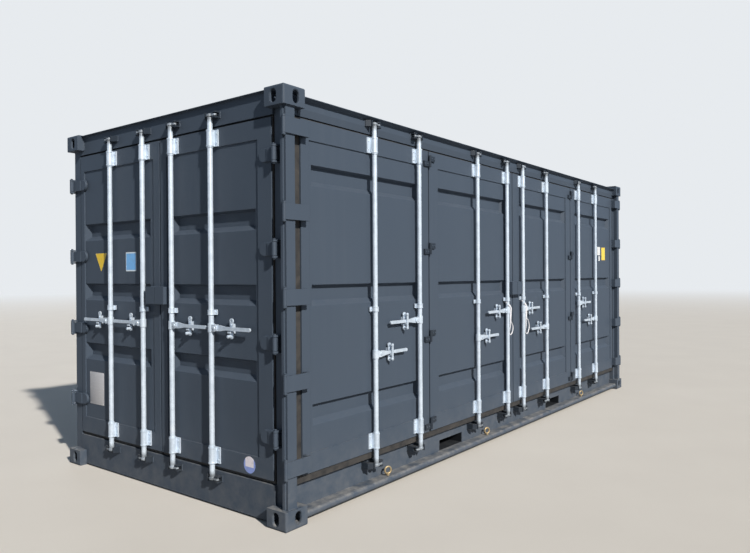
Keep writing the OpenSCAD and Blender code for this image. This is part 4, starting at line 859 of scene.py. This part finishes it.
# Data plate: a blank sheet of dull aluminium with pressed lines, held to the panel by six
# small blind rivets.
plate_dark = (0.52, 0.51, 0.52, 1)
plate_pale = (0.72, 0.70, 0.71, 1)
plate_material, tree, plate_shader = new_material("plate_aluminium")
plate_shader.inputs["Metallic"].default_value = 0.25
place = node(tree, "TexCoord").outputs["Object"]
brushed = node(tree, "Mapping", {"Vector": place, "Scale": (1.0, 6.0, 160.0)}).outputs["Vector"]
brushed = noise(tree, brushed, 3.0, 5.0)
tree.links.new(mixed(tree, brushed, plate_dark, plate_pale), plate_shader.inputs["Base Color"])
tree.links.new(spread(tree, brushed, 0.0, 1.0, 0.38, 0.60), plate_shader.inputs["Roughness"])
data_y, data_z = 0.905, 0.615
data_half_wide, data_half_tall, data_edge = 0.100, 0.125, 0.0006
data_front, data_back = panel_depth - 0.0015, panel_depth - 0.0001
line_count, line_first, line_step = 9, 0.095, 0.0235
line_half, line_tall, line_edge = 0.085, 0.0022, 0.0003
line_front, line_back = panel_depth - 0.0021, panel_depth - 0.0010
data_rivet, rivet_out, rivet_rise = (0.0035, 0.0018), 0.090, 0.115
plate = bmesh.new()
flat_bar(plate, on_end(data_y - data_half_wide, data_front, data_z - data_half_tall),
         on_end(data_y + data_half_wide, data_back, data_z + data_half_tall), data_edge)
for row in range(line_count):
    z = data_z + line_first - row * line_step
    flat_bar(plate, on_end(data_y - line_half, line_front, z),
             on_end(data_y + line_half, line_back, z + line_tall), line_edge)
for out in (-rivet_out, rivet_out):
    for rise in (-rivet_rise, 0.0, rivet_rise):
        domed_head(plate, on_end(data_y + out, data_front, data_z + rise), out_of_end, *data_rivet,
                   rivet_sides)
finish_piece("data_plate", plate, plate_material, "wall_leaf")


# Seal straps: two loops of white plastic strap tied round the middle rods above the handles,
# hanging down in front of the leaves and ending in a loose ring. Each point of a loop is told
# by its distance from the rod, its depth and its height; front is as far out as a strap goes.
strap_white = (0.90, 0.89, 0.92, 1)
strap_soiled = (0.56, 0.50, 0.48, 1)
strap_material, tree, strap_shader = new_material("white_strap")
soil = spread(tree, noise(tree, node(tree, "TexCoord").outputs["Object"], 55.0, 6.0), 0.5, 0.85,
              most=0.35)
tree.links.new(mixed(tree, soil, strap_white, strap_soiled), strap_shader.inputs["Base Color"])
strap_shader.inputs["Roughness"].default_value = 0.45
strap_shader.inputs["Subsurface Weight"].default_value = 0.08
strap_shader.inputs["Subsurface Radius"].default_value = (0.004, 0.004, 0.004)


def rounded(points, steps=5):
    ring = []
    count = len(points)
    for i in range(count - 1):
        a, b, c, d = (points[min(max(i + k, 0), count - 1)] for k in (-1, 0, 1, 2))
        for k in range(steps):
            t = k / steps
            ring.append(0.5 * (2 * b + (c - a) * t + (2 * a - 5 * b + 4 * c - d) * t * t
                               + (3 * b - a - 3 * c + d) * t ** 3))
    return ring + [points[-1]]


strap_sides, front = 8, 0.0053
long_loop = ((-0.026, 0.020, 1.224), (-0.010, 0.045, 1.227), (0.014, 0.045, 1.224),
             (0.026, 0.026, 1.210), (0.031, front, 1.170), (0.034, front, 1.120),
             (0.046, 0.014, 1.060), (0.105, 0.024, 1.030), (0.138, 0.030, 0.965),
             (0.100, 0.030, 0.905), (0.045, 0.026, 0.925), (0.014, front, 0.985),
             (0.014, front, 1.060), (0.014, front, 1.130), (0.004, front, 1.175),
             (-0.018, front, 1.200))
short_loop = ((-0.026, 0.020, 1.221), (-0.010, 0.045, 1.225), (0.014, 0.045, 1.222),
              (0.026, 0.026, 1.206), (0.031, front, 1.170), (0.032, front, 1.120),
              (0.036, 0.010, 1.060), (0.070, 0.022, 1.035), (0.112, 0.028, 0.995),
              (0.108, 0.030, 0.945), (0.070, 0.030, 0.920), (0.034, 0.026, 0.945),
              (0.014, front, 1.000), (0.014, front, 1.120), (0.004, front, 1.175),
              (-0.018, front, 1.198))
for name, rod_x, loop, strap_r in (("seal_strap_left", -0.166, short_loop, 0.0046),
                                   ("seal_strap_right", 0.166, long_loop, 0.0050)):
    way = rounded([on_side(rod_x + along, depth, z) for along, depth, z in loop])
    strap = bmesh.new()
    drawn_bar(strap, way, strap_r, strap_sides)
    finish_piece(name, strap, strap_material, "container")
